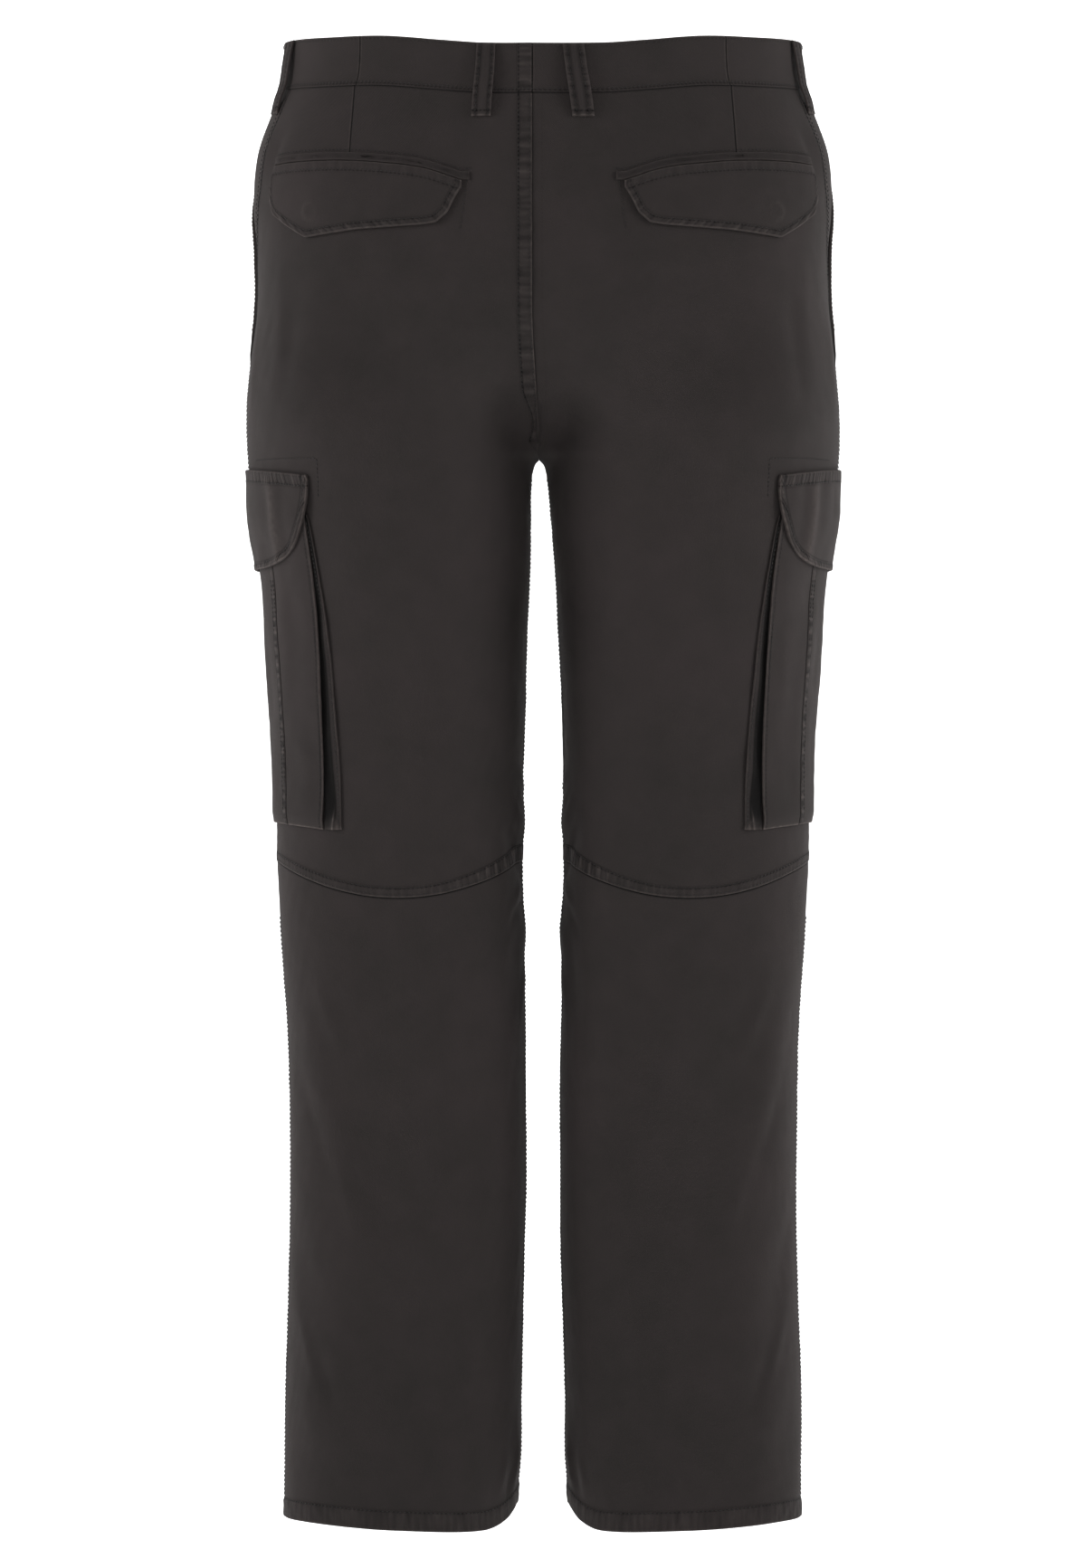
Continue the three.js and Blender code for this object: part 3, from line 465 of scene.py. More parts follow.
def wall(name, half, around, z, outer_height, inner_height, wear_and_highlight=0, painted_shade=0, uv=None, bands=(), lines=()):
    """Makes a piece from a grid of places and the heights of its outside and inside.

    bands are up to three seams, and lines up to two single lines as (signed distance, strength).
    """
    outer, inner = place(half, around, z, outer_height), place(half, around, z, inner_height)
    rows, cols = around.shape
    count = rows * cols
    index = np.arange(count).reshape(rows, cols)
    corners = (index[:-1, :-1], index[:-1, 1:], index[1:, 1:], index[1:, :-1])
    a, b, c, d = (corner.ravel() for corner in corners)
    faces = [np.stack([a, b, c, d], 1), np.stack([d, c, b, a], 1) + count]
    border = np.concatenate([index[0, :-1], index[:-1, -1], index[-1, :0:-1], index[:0:-1, 0]])
    after = np.roll(border, -1)
    faces.append(np.stack([after, border, border + count, after + count], 1))
    faces = np.concatenate(faces)
    points = np.concatenate([outer.reshape(-1, 3), inner.reshape(-1, 3)])
    p = points[faces]
    volume = np.einsum("ij,ij->i", p[:, 0], np.cross(p[:, 1], p[:, 2]) + np.cross(p[:, 2], p[:, 3])).sum()
    if volume < 0:
        faces = faces[:, ::-1]
    mesh = bpy.data.meshes.new(name)
    mesh.from_pydata((points / 1000).tolist(), [], faces.tolist())
    mesh.update()
    mesh.shade_smooth()
    mesh.set_sharp_from_angle(angle=math.radians(55))
    if uv is None:
        uv = (side_distance(around, z), z)
    flat = np.stack(np.broadcast_arrays(*uv), -1).reshape(-1, 2) / 1000
    corners = np.empty(len(mesh.loops), dtype=np.int32)
    mesh.loops.foreach_get("vertex_index", corners)
    layer = mesh.uv_layers.new(name="cloth")
    layer.data.foreach_set("uv", np.concatenate([flat, flat])[corners].ravel().astype(np.float32))
    # The pale marks are worn edges and painted highlights, and the dark ones painted shade in seams and
    # recesses.
    for key, value in (("wear_and_highlight", wear_and_highlight), ("painted_shade", painted_shade)):
        value = np.broadcast_to(np.asarray(value, float), around.shape).ravel()
        both = np.concatenate([value, value * 0]).astype(np.float32)
        mesh.attributes.new(key, "FLOAT", "POINT").data.foreach_set("value", both)
    bands = [*bands, *[band(FAR, FAR * 2, 0, 0)] * (3 - len(bands))]
    lines = [*lines, *[(FAR, 0)] * (2 - len(lines))]
    for key, (across, width, along, _, _) in zip("abc", bands):
        write_vectors(mesh, f"band_{key}", (across, width - across, along), around.shape)
    write_vectors(mesh, "seen", [b[3] for b in bands], around.shape, hide_inside=True)
    write_vectors(mesh, "puckered", [b[4] for b in bands], around.shape, hide_inside=True)
    write_vectors(mesh, "lines", (lines[0][0], lines[0][1], lines[1][0]), around.shape)
    corner = outer[:-1, :-1]
    area = np.linalg.norm(np.cross(outer[:-1, 1:] - corner, outer[1:, :-1] - corner), axis=-1).sum()
    PIECES[name] = (add_object(name, mesh), area / 1e6)


def stitch_line(half, around, z, height):
    """Keeps a line of places for sewing."""
    around, z, height = np.broadcast_arrays(*(np.asarray(v, float) for v in (around, z, height)))
    facing = outward(around, z) * np.array([-1 if half == "left" else 1, 1, 1])
    STITCH_LINES[half].append((place(half, around, z, height), facing))


def sew_above(half, around, z, above):
    """Sewing at a height above the folded cloth."""
    stitch_line(half, around, z, relief(half, around, z) + above)


def groove(distance, at, width):
    """1 at a distance, falling off on both sides."""
    return np.exp(-(((distance - at) / width) ** 2))


def ladder(along, across, width, pitch, seed):
    """Puckers that cross a felled seam like rungs: 0 to 1."""
    wander = 0.45 * np.sin(along / 31 + seed) + 0.3 * np.sin(along / 13.7 + seed * 2.1)
    rungs = np.abs(np.cos(math.pi * (along / pitch + wander))) ** 3
    inside = smooth(across / 1.5) * smooth((width - across) / 1.5)
    strong = 0.6 + 0.4 * np.sin(along / 23 + seed * 1.7)
    return rungs * inside * strong


# %% [markdown]
# ## The legs: back, knee seam, front
# The seams are felled: one edge laps over the other in a band with two rows of stitches, and the
# washed cloth puckers across it.

# %%
# Panels of the garment's own surface
HALF_GAP = SEAM_GAP / 2
FELL = 8.5
FELL_LIFT = 0.75
FELL_ROWS = (1.4, FELL - 1.2)  # its two rows of stitches
CENTRE_BAND = 12
HEM_TURN = 15.5
DART_TOP, DART_BOTTOM, DART_END_Z = 139.6, 143.6, -74


def knee_band(around):
    """Width of the lapped band at the knee, wider towards the inseam."""
    return mix(8.0, 13.0, smooth((np.asarray(around) - 0.55) / 0.4))


def panel_grid(from_line, to_line, top_line, bottom_line, column_step, row_step):
    """Places of a panel's grid between its four edges."""
    q = spread(0, 300, column_step) / 300
    v = spread(0, 500, row_step * 500 / abs(float(top_line(0.5)) - float(bottom_line(0.5)))) / 500
    q, v = np.meshgrid(q, v)
    thigh = np.array(-300.0)
    around = mix(from_line(thigh), to_line(thigh), q)
    for _ in range(5):
        z = mix(top_line(around), bottom_line(around), v)
        around = mix(from_line(z), to_line(z), q)
    return around, z


def back_seams(half, around, z):
    """Heights, painted shade, bands and lines of the seams at the edges of the back pieces."""
    seed = 1.0 if half == "left" else 4.0
    side = BEHIND.distance(around, z) - BEHIND.distance(side_seam(z), z)
    middle = BEHIND.whole(z) - BEHIND.distance(around, z)
    seat = smooth((z - CROTCH_Z) / 12)
    height = FELL_LIFT * 0.5 * smooth((FELL - side) / 1.2) + 0.15 * ladder(z, side, FELL, 8.0, seed)

    # The band of the centre back seam lies on the wearer's left, and the inseams have one each
    lapped = seat if half == "left" else 0 * seat
    width = mix(FELL, CENTRE_BAND, lapped)
    over = mix(1 - seat, 1, lapped)
    rungs = 0.25 * ladder(z, middle, width, 7.5, 2.0)
    height += over * (FELL_LIFT * 0.6 * smooth((width - middle) / 1.2) + rungs)
    # Towards the hip the side band's folded edge gets a stronger painted highlight.
    hip = smooth((z + 185) / 30)
    seen = mix(mix(0.5, 0.1, seat), 1.1, lapped)
    bands = [band(side, FELL, z, mix(0.5, 1.8, hip), 0.5), band(middle, width, z + 400, seen, 0.5 * over)]
    # Painted shade in the crack of the centre back seam.
    painted_shade = (0.3 if half == "left" else 0.9) * seat * groove(middle, 0.0, 1.0)

    # Dart from the waistband to the pocket, and the waistband's lower edge
    dart_x = mix(DART_BOTTOM, DART_TOP, clamp((z - DART_END_Z) / 60, 0, 1))
    across = plain_point(around, z)[..., 0] - dart_x
    reach = smooth((z - DART_END_Z + 2) / 6)
    below_band = band_bottom(around) - z
    # Painted shade under the waistband's lower edge.
    painted_shade += 0.25 * groove(below_band, 0, 1.2)
    return height, painted_shade, bands, [(across, 1.3 * reach), (below_band, 1)]


def back_panels(half):
    seed = 3.0 if half == "left" else 7.0
    beside = lambda z: nudge(side_seam(z), z, HALF_GAP)

    # The upper piece laps over the lower one at the knee
    top = lambda a: band_bottom(a) - SEAM_GAP
    bottom = lambda a: knee_seam(a) + HALF_GAP
    around, z = panel_grid(beside, np.ones_like, top, bottom, 3.2, 3.2)
    height, painted_shade, bands, lines = back_seams(half, around, z)
    above_seam = z - knee_seam(around)
    width = knee_band(around)
    along = side_distance(around, z)
    lap = smooth((width - above_seam) / 1.4)
    gathered = mix(0.3, 1.9, smooth((around - 0.6) / 0.35))
    height += (0.5 * lap * quarter_round(above_seam / 0.8 + 0.12)
               + 0.35 * gathered * ladder(along, above_seam, width, 6.0, seed))
    bands.append(band(above_seam, width, along, 0.65, gathered))
    base = relief(half, around, z)
    wall(f"cloth_back_upper_{half}", half, around, z, base + height, base - CLOTH, 0, painted_shade,
         bands=bands, lines=lines)

    # The lower piece, with its turned-up hem
    top = lambda a: knee_seam(a) - HALF_GAP
    around, z = panel_grid(beside, np.ones_like, top, hem_line, 3.2, 3.2)
    height, painted_shade, bands, lines = back_seams(half, around, z)
    below_seam = knee_seam(around) - z
    # Painted shade under the lapped knee seam.
    painted_shade += 0.7 * groove(below_seam, 0, 1.1)
    more, pale_edges, turned_up = hem_relief(half, around, z)
    base = relief(half, around, z)
    wall(f"cloth_back_lower_{half}", half, around, z, base + height + more, base - CLOTH, pale_edges, painted_shade,
         bands=[*bands, turned_up], lines=[(FAR, 0), (below_seam, 1)])

    # Rows of stitches
    a = np.linspace(0.005, 0.995, 160)
    for above in (1.9, knee_band(a) - 0.8):
        level = knee_seam(a) + above
        sew_above(half, a, level, 0.6)
    for start, end in ((-24, -560), (-640, -1078)):
        level = np.linspace(start, end, 160)
        for offset in FELL_ROWS:
            at = nudge(side_seam(level), level, offset)
            sew_above(half, at, level, 0.7)
    level = np.linspace(CROTCH_Z - 16, -1078, 200)
    for offset in FELL_ROWS:
        at = from_centre(level, offset)
        sew_above(half, at, level, 0.7)
    if half == "left":
        level = np.linspace(-32, CROTCH_Z + 10, 120)
        for offset in (1.6, CENTRE_BAND - 1.2):
            at = from_centre(level, offset)
            sew_above(half, at, level, FELL_LIFT + 0.25)


def hem_relief(half, around, z):
    """The turned-up hem: a double layer that twists a little along its stitching."""
    seed = 5.0 if half == "left" else 9.0
    above_edge = z - hem_line(around)
    along = side_distance(around, z)
    turned = smooth((HEM_TURN - above_edge) / 1.4)
    twist = np.sin(2 * math.pi * (along + 0.9 * above_edge) / 13 + seed) * smooth(above_edge / 3)
    height = turned * (0.8 + 0.2 * twist * smooth((HEM_TURN - above_edge) / 4))
    height += edge_round(above_edge, 1.4, 0.8)
    wear_and_highlight = 0.2 * groove(above_edge, 0, 1.2) * (0.6 + 0.4 * twist)
    return height, wear_and_highlight, band(above_edge, HEM_TURN, along, 0.5, 0.35)


def front_panel(half):
    centre = lambda z: -np.ones_like(z)
    mouth = lambda z: nudge(mouth_line(z), z, -HALF_GAP)
    top = lambda a: band_bottom(a) - SEAM_GAP
    around, z = panel_grid(mouth, centre, top, hem_line, 4.4, 4.6)
    middle = BEFORE.whole(z) - BEFORE.distance(around, z)
    edge = side_distance(mouth_line(z), z) - side_distance(around, z)
    open_ = 1 - smooth((MOUTH_BOTTOM - z) / 10)
    height = 0.5 * smooth((7 - edge) / 2) * open_ + edge_round(edge, 1.2, 0.5)
    # Painted shade along the mouth below its opening and in the centre front seam.
    painted_shade = 0.5 * groove(edge, 0, 1.2) * (1 - open_) + 0.7 * groove(middle, 0, 1.2)
    below_band = band_bottom(around) - z
    # Painted shade under the waistband's lower edge.
    painted_shade += 0.5 * groove(below_band, 0, 1.2)
    more, pale_edges, turned_up = hem_relief(half, around, z)
    # A painted highlight along the open mouth's edge, added to the hem's wear; the mouth's band shows a
    # stronger painted highlight there too.
    pale_edges = pale_edges + 0.45 * groove(edge, 2.5, 3) * open_
    base = relief(half, around, z) + mouth_lift(around, z)
    wall(f"cloth_front_{half}", half, around, z, base + height + more, base - CLOTH, pale_edges, painted_shade,
         bands=[band(edge, 8, z, mix(0.4, 1.5, open_), 0.4), band(middle, FELL, z, 0.6, 0.7), turned_up],
         lines=[(FAR, 0), (below_band, 1)])
    level = np.linspace(-24, MOUTH_BOTTOM + 4, 80)
    for offset in (1.6, 7):
        at = nudge(mouth_line(level), level, -offset)
        sew_above(half, at, level, mouth_lift(at, level) + 0.6)

    # Facing behind the mouth
    inner = lambda z: nudge(mouth_line(z), z, -MOUTH_UNDERLAP)
    outer = lambda z: nudge(side_seam(z), z, -HALF_GAP)
    around, z = panel_grid(inner, outer, top, lambda a: MOUTH_BOTTOM - 1 + 0 * a, 8, 5)
    base = relief(half, around, z) - 1.2 * smooth((mouth_line(z) - around) * AROUND_SCALE / MOUTH_UNDERLAP)
    wall(f"cloth_hip_pocket_facing_{half}", half, around, z, base, base - 1.2)


for side in ("left", "right"):
    back_panels(side)
    front_panel(side)
    a = np.linspace(-0.995, 0.995, 260)
    level = hem_line(a) + HEM_TURN - 1.2
    sew_above(side, a, level, 0.55)
print("leg panels", {name: round(area, 3) for name, (_, area) in PIECES.items()})


# %% [markdown]
# ## Waistband

# %%
# The band in three stretches a side
DART_AT, BAND_FRONT_AT = 0.389, -0.25


def waistband(half):
    seed = 2.0 if half == "left" else 6.0
    stretches = (("back", DART_AT, 1.0), ("side", BAND_FRONT_AT, DART_AT), ("front", -1.0, BAND_FRONT_AT))
    for name, start, end in stretches:
        from_line = lambda z, at=start: nudge(np.full_like(z, at), z, HALF_GAP) if abs(at) < 1 else at
        to_line = lambda z, at=end: nudge(np.full_like(z, at), z, -HALF_GAP) if abs(at) < 1 else at
        q = spread(0, 120, 3.0) / 120
        v = spread(0, BAND_HEIGHT, 2.4) / BAND_HEIGHT
        q, v = np.meshgrid(q, v)
        around = mix(start, end, q)
        z = mix(band_top(around), band_bottom(around), v)
        around = mix(from_line(z), to_line(z), q)
        z = mix(band_top(around), band_bottom(around), v)
        down = v * BAND_HEIGHT
        along = side_distance(around, z)
        from_start, to_end = (np.abs(along - side_distance(np.full_like(z, at), z)) for at in (start, end))
        ends = np.minimum(from_start, to_end)
        edge = np.minimum(down, BAND_HEIGHT - down)
        lift = BAND_LIFT + 0.16 * np.sin(along / 9 + down / 14 + seed) * smooth(edge / 6)
        lift += (edge_round(down, 1.3, 0.9) + edge_round(BAND_HEIGHT - down, 0.6, 0.15)
                 + edge_round(ends, 0.8, 0.3))
        wear_and_highlight = 0.15 * groove(down, 0, 1.3)
        # Painted shade where the stretches meet.
        painted_shade = 0.5 * groove(ends, 0, 0.8)
        bands = [band(down, BAND_HEIGHT, along, 0.7), band(ends, FAR, down, 0.5)]
        if name == "back" and half == "left":
            lift += (0.3 * smooth((CENTRE_BAND - to_end) / 1.2)
                     + 0.25 * ladder(down, to_end, CENTRE_BAND, 7.5, 2.0))
            bands = [bands[0], band(to_end, CENTRE_BAND, down, 0.8, 0.6),
                     band(from_start, FAR, down, 0.5)]
        inside = BAND_LIFT - BAND_CLOTH + 0 * lift
        wall(f"cloth_waistband_{name}_{half}", half, around, z, lift, inside, wear_and_highlight, painted_shade,
             bands=bands, lines=[(ends, 0.9)])
    a = np.linspace(-0.995, 0.995, 300)
    for level in (band_top(a) - 2.4, band_bottom(a) + 2.4):
        stitch_line(half, a, level, BAND_LIFT + 0.4)


for side in ("left", "right"):
    waistband(side)


# %% [markdown]
# ## Pieces sewn on from a flat pattern
# A flap is drawn flat, as distance along and height. How near each point is to the drawn outline
# gives its rounded edge, its row of stitches and its wear.

# %%
# Flat patterns
def outline_distance(s, z, outline):
    """Distance from each point to a closed outline, in the flat pattern."""
    points = np.stack([s.ravel(), z.ravel()], 1)
    start = np.asarray(outline, float)
    run = np.roll(start, -1, axis=0) - start
    best = np.full(len(points), 1e9)
    for origin, step in zip(start, run):
        size = max(step @ step, 1e-9)
        share = np.clip(((points - origin) @ step) / size, 0, 1)
        best = np.minimum(best, np.hypot(*(points - origin - share[:, None] * step).T))
    return best.reshape(s.shape)


def free_edge(s, z, s_line, bottom):
    """Distance from each point to the sides and the lower edge of a flap."""
    low = np.stack([s_line, bottom(s_line)], 1)
    return outline_distance(s, z, np.concatenate([low, [[s_line[-1], 60], [s_line[0], 60]]]))


def inset(points, distance):
    """A line moved inwards, to the left of its direction."""
    points = np.asarray(points, float)
    along = np.gradient(points, axis=0)
    along /= np.linalg.norm(along, axis=1, keepdims=True) + 1e-9
    return points + distance * np.stack([-along[:, 1], along[:, 0]], 1)


def on_leg(s, z):
    """The lift of sewing that lies on the leg itself."""
    return 0.1 + 0 * s


def sew(half, points, around_of, lift_of):
    """Sews along a line of a flat pattern."""
    s, z = np.asarray(points, float).T
    around = around_of(z, s)
    sew_above(half, around, z, lift_of(s, z) + 0.12)


def flat_piece(name, half, s_line, top, bottom, rows, around_of, lift_of, cloth, extra,
               radius=1.2, drop=0.8):
    """A piece cut flat: a grid of distance along and height, laid on the cloth."""
    height = float(np.mean(top(s_line) - bottom(s_line)))
    v = spread(0, height, height / rows) / height
    s, v = np.meshgrid(s_line, v)
    z = mix(top(s), bottom(s), v)
    outline = np.concatenate([
        np.stack([s_line, top(s_line)], 1),
        np.stack([s_line[::-1], bottom(s_line[::-1])], 1),
    ])
    edge = outline_distance(s, z, outline)
    around = around_of(z, s)
    base = relief(half, around, z)
    lift = lift_of(s, z)
    height, wear_and_highlight, painted_shade, bands = extra(s, z, edge)
    outer = base + lift + edge_round(edge, radius, drop) + height
    thick = cloth(s, z) if callable(cloth) else cloth
    wall(name, half, around, z, outer, base + lift - thick, wear_and_highlight, painted_shade, uv=(s, z), bands=bands)


# %% [markdown]
# ## Back pockets: flap, welt and the stitched outline of the pocket

# %%
# Back pockets
FLAP_TOP = [(60, -94.2), (90, -84.1), (126, -78.8), (157, -75.9), (190, -74.6), (218, -74.6),
            (225, -76.5), (230, -92)]
FLAP_BOTTOM = [(60, -99), (65, -107), (70, -118), (79, -125.7), (90, -127), (140, -128.9), (186, -132.4),
               (205, -122.7), (225, -111), (230, -101)]
FLAP_INNER, FLAP_OUTER, FLAP_CLOTH, FLAP_LIFT = 60, 230, 1.8, 0.8
WELT_HEIGHT, WELT_CLOTH, WELT_LIFT, WELT_GAP = 6.2, 1.2, 0.8, 0.6
BUTTON_ALONG, BUTTON_Z, BUTTON_RADIUS = 181, -113, 7.0


def flap_top(s):
    return through(FLAP_TOP, s)


def flap_bottom(s):
    return np.interp(s, *zip(*FLAP_BOTTOM))


def back_pocket(half):
    seed = 3.0 if half == "left" else 8.0
    lift_of = lambda s, z: FLAP_LIFT + FLAP_CLOTH + 1.2 * smooth((flap_top(s) - z) / 45)

    s_line = spread(FLAP_INNER, FLAP_OUTER, 2.0)

    def flap_detail(s, z, edge):
        below_top = flap_top(s) - z
        free = free_edge(s, z, s_line, flap_bottom)
        rim = smooth((5.2 - free) / 1.0)
        ripple = np.sin(2 * math.pi * (s - 0.5 * z) / 9 + seed) * rim
        button = np.hypot(s - BUTTON_ALONG, z - BUTTON_Z)
        height = 0.3 * rim + 0.12 * ripple
        height += 0.5 * smooth((BUTTON_RADIUS + 1 - button) / 2) - 0.2 * groove(button, 0, 2.2)
        wear_and_highlight = 0.1 * groove(free, 0, 1.0) + 0.12 * groove(button, 6.5, 1.6)
        return height, wear_and_highlight, 0, [band(free, 5.6, s - z, 0.65, 0.5), band(below_top, 8.6, s, 0.6, 0.2)]

    flat_piece(f"cloth_back_pocket_flap_{half}", half, s_line, flap_top, flap_bottom, 26, from_centre,
               lift_of, FLAP_CLOTH, extra=flap_detail)

    def welt_detail(s, z, edge):
        # The welt is darkened all over with painted shade.
        return 0.1 * np.sin(s / 2.2 + seed), 0, 0.25, [band(edge, FAR, s, 0.4)]

    welt_bottom = lambda s: flap_top(np.maximum(s, FLAP_INNER)) + WELT_GAP
    welt_top = lambda s: flap_top(np.maximum(s, FLAP_INNER)) + WELT_HEIGHT + WELT_GAP
    flat_piece(f"cloth_back_pocket_welt_{half}", half, spread(FLAP_INNER - 6, FLAP_OUTER - 6, 3.0),
               welt_top, welt_bottom, 4, from_centre, lambda s, z: WELT_LIFT + WELT_CLOTH + 0 * s,
               WELT_CLOTH, extra=welt_detail)

    s = np.linspace(FLAP_INNER + 3, FLAP_OUTER - 4, 90)
    sew(half, np.stack([s, flap_top(s) - 6.2], 1), from_centre, lift_of)
    s = np.linspace(FLAP_INNER, FLAP_OUTER, 120)
    rim = inset(np.stack([s, flap_bottom(s)], 1), 5.0)
    rim = rim[(rim[:, 1] < flap_top(rim[:, 0]) - 7) & (rim[:, 0] > 62) & (rim[:, 0] < 228)]
    sew(half, rim, from_centre, lift_of)
    s = np.linspace(FLAP_INNER - 7, FLAP_OUTER - 8, 90)
    sew(half, np.stack([s, welt_top(s) + 2.2], 1), from_centre, on_leg)
    down = np.linspace(0, 44, 22)
    line = np.stack([55 + 0.13 * down, float(flap_top(62)) + WELT_HEIGHT + WELT_GAP + 2.2 - down], 1)
    sew(half, line, from_centre, on_leg)


for side in ("left", "right"):
    back_pocket(side)


# %% [markdown]
# ## Cargo pockets: three-strip face, bellows at the edges and a round-cornered flap

# %%
# Cargo pockets
CARGO_UNDER, CARGO_BOTTOM, CARGO_SAG, CARGO_SEAM = 24, -567, 5, 66
FACE_TOP, FACE_TOP_HALF, FACE_BOTTOM_HALF = -345, 116.5, 87.3
FACE_CLOTH, FACE_LIFT, FACE_SWELL, FACE_HEM = 1.4, 3.8, 1.6, 9
BELLOWS_TOP, BELLOWS_TOP_WIDTH, BELLOWS_SPREAD, BELLOWS_CLOTH = -338, 2.6, 12.6, 1.1
CFLAP_HALF, CFLAP_TOP, CFLAP_SAG, CFLAP_CLOTH = 130, -299, 9.5, 2.2
CFLAP_LIFT_TOP, CFLAP_LIFT_BOTTOM, CFLAP_OPENING = 3.2, 7.0, 44
CFLAP_BOTTOM = [(0, -375), (52, -374.8), (71, -373), (88, -368.8), (99, -362.5), (108, -354), (114, -346),
                (120, -336.5), (126, -324), (130, -312)]


def cflap_top(s):
    return CFLAP_TOP - CFLAP_SAG * np.abs(s / CFLAP_HALF) ** 1.5


def cflap_bottom(s):
    return through(CFLAP_BOTTOM, np.abs(s))


def cflap_lift(s, z):
    return mix(CFLAP_LIFT_TOP, CFLAP_LIFT_BOTTOM, smooth((cflap_top(s) - z) / CFLAP_OPENING))


def cargo_bottom(s):
    return CARGO_BOTTOM - CARGO_SAG * (s / FACE_TOP_HALF) ** 2


def face_lift(s, z):
    below_flap = smooth((CFLAP_BOTTOM[0][1] - 8 - z) / 50)
    above_bottom = mix(0.4, 1, smooth((z - cargo_bottom(s)) / 110))
    return np.minimum(FACE_LIFT, cflap_lift(s, z) - CFLAP_CLOTH - 1) + FACE_SWELL * below_flap * above_bottom


def face_half(z):
    return mix(FACE_BOTTOM_HALF, FACE_TOP_HALF, clamp((z - CARGO_BOTTOM) / (FACE_TOP - CARGO_BOTTOM), 0, 1))


def cargo_pocket(half):
    seed = 2.0 if half == "left" else 5.0
    around_of = lambda z, s: from_side(z, s * face_half(z) / FACE_TOP_HALF)
    closing = lambda s, z: smooth(1 - (z - cargo_bottom(s)) / FACE_HEM)
    lift_of = lambda s, z: face_lift(s, z) - 1.4 * closing(s, z)
    thick = lambda s, z: mix(FACE_CLOTH, face_lift(s, z) - 2.2, closing(s, z))

    def face_detail(s, z, edge):
        up = z - cargo_bottom(s)
        seam = CARGO_SEAM - np.abs(s)
        outer_edge = FACE_TOP_HALF - np.abs(s)
        inside = smooth(up / 30) * smooth((-345 - z) / 40)
        height = 0.5 * inside * waves(s * 1.4, z * 0.5, int(seed) + 40, 90, 30)
        height += (0.4 * smooth((FELL - 1 - seam) / 1.2) + 0.2 * ladder(z, seam, FELL, 9, seed)) * (seam > 0)
        wear_and_highlight = 0.25 * groove(outer_edge, 0, 1.0) + 0.5 * groove(up, 0, 1.4)
        # Painted shade in the seam between the strips.
        painted_shade = 0.6 * groove(seam, 0, 0.9)
        bands = [band(outer_edge, 4, z, 0.6, 0.1), band(seam, FELL - 1, z, 0.5, 1.3), band(up, FAR, s, 0.9)]
        return height, wear_and_highlight, painted_shade, bands

    strips = (("back", CARGO_SEAM + HALF_GAP, FACE_TOP_HALF),
              ("centre", -CARGO_SEAM + HALF_GAP, CARGO_SEAM - HALF_GAP),
              ("front", -FACE_TOP_HALF, -CARGO_SEAM - HALF_GAP))
    for name, low, high in strips:
        flat_piece(f"cloth_cargo_pocket_{name}_{half}", half, spread(low, high, 2.8),
                   lambda s: cflap_top(s) - CARGO_UNDER, cargo_bottom, 84, around_of, lift_of, thick,
                   radius=1.4, drop=0.5, extra=face_detail)

    # Bellows: a pleat between the leg and the face's edge
    for name, facing in (("back", 1), ("front", -1)):
        share = spread(0, 14, 0.9, (0, 0.3, 0.8)) / 14
        down = np.linspace(0, 1, 90)
        share, down = np.meshgrid(share, down)
        bottom = float(cargo_bottom(FACE_TOP_HALF))
        z = mix(BELLOWS_TOP, bottom, down)
        open_ = smooth((BELLOWS_TOP - 36 - z) / 60) * smooth((z - bottom) / 40 - 0.3)
        foot = smooth(1 - (z - bottom) / 22)
        stitched = face_half(z) + BELLOWS_TOP_WIDTH + BELLOWS_SPREAD * down**1.1
        s = facing * mix(stitched, face_half(z) + 0.9 - 7 * open_, share)
        pleat = np.interp(share, [0, 0.14, 0.3, 0.5, 0.66, 0.8, 1], [1.9, 2.9, 2.5, 1.3, 1.3, 2.5, 2.8])
        height = mix(1.9, pleat, open_) + 0.4 * open_ * np.sin(z / 11 + share * 3 + seed)
        height += 1.9 * foot * np.sin(math.pi * clamp(share * 1.3, 0, 1)) ** 2
        around = from_side(z, s)
        base = relief(half, around, z)
        rim = share * (stitched - face_half(z) + 5)
        gather = foot * groove(share, 0.5 - 0.008 * (z - bottom), 0.05)
        # Painted highlights on the gathers at the pleat's foot, and wear along its bottom edge.
        wear_and_highlight = 0.9 * foot * groove(share, 0.35 + 0.12 * np.sin(z / 3), 0.09)
        wear_and_highlight = wear_and_highlight + 0.7 * groove(z - bottom, 0, 1.6) + 0.9 * gather
        opened = smooth((share - 0.2) / 0.1) * smooth(1.4 - foot)
        # Painted shade deep in the opened pleat, lifted over the gathers.
        painted_shade = mix(0.1, 1.3, opened) * smooth((rim - 0.8) / 1.5) * (1 - gather)
        wall(f"cloth_cargo_bellows_{name}_{half}", half, around, z, base + height,
             base + height - BELLOWS_CLOTH, wear_and_highlight, painted_shade, uv=(s, z), bands=[band(rim, FAR, z, 0.55)])
        level = np.linspace(BELLOWS_TOP - 6, bottom + 2, 90)
        at = from_side(level, facing * (np.interp(level, z[::-1, 0], stitched[::-1, 0]) - 1.6))
        sew_above(half, at, level, 2.9)

    # The flap
    def flap_detail(s, z, edge):
        below_top = cflap_top(s) - z
        free = free_edge(s, z, s_line, cflap_bottom)
        rim = smooth((4.6 - free) / 0.9)
        ripple = np.sin(2 * math.pi * (s - 0.7 * z) / 7.5 + seed) * rim
        middle = smooth((below_top - 4) / 8)
        fold = np.exp(-(((np.abs(s) - 85 - 0.05 * (z + 320)) / 6) ** 2)) * middle
        dent = np.exp(-(((np.abs(s) - 98 - 0.1 * (z + 320)) / 7) ** 2)) * middle
        height = 0.3 * rim + 0.16 * ripple + 1.2 * fold - 0.8 * dent
        height += 0.35 * waves(s, z, int(seed) + 60, 70, 24) * smooth(edge / 8)
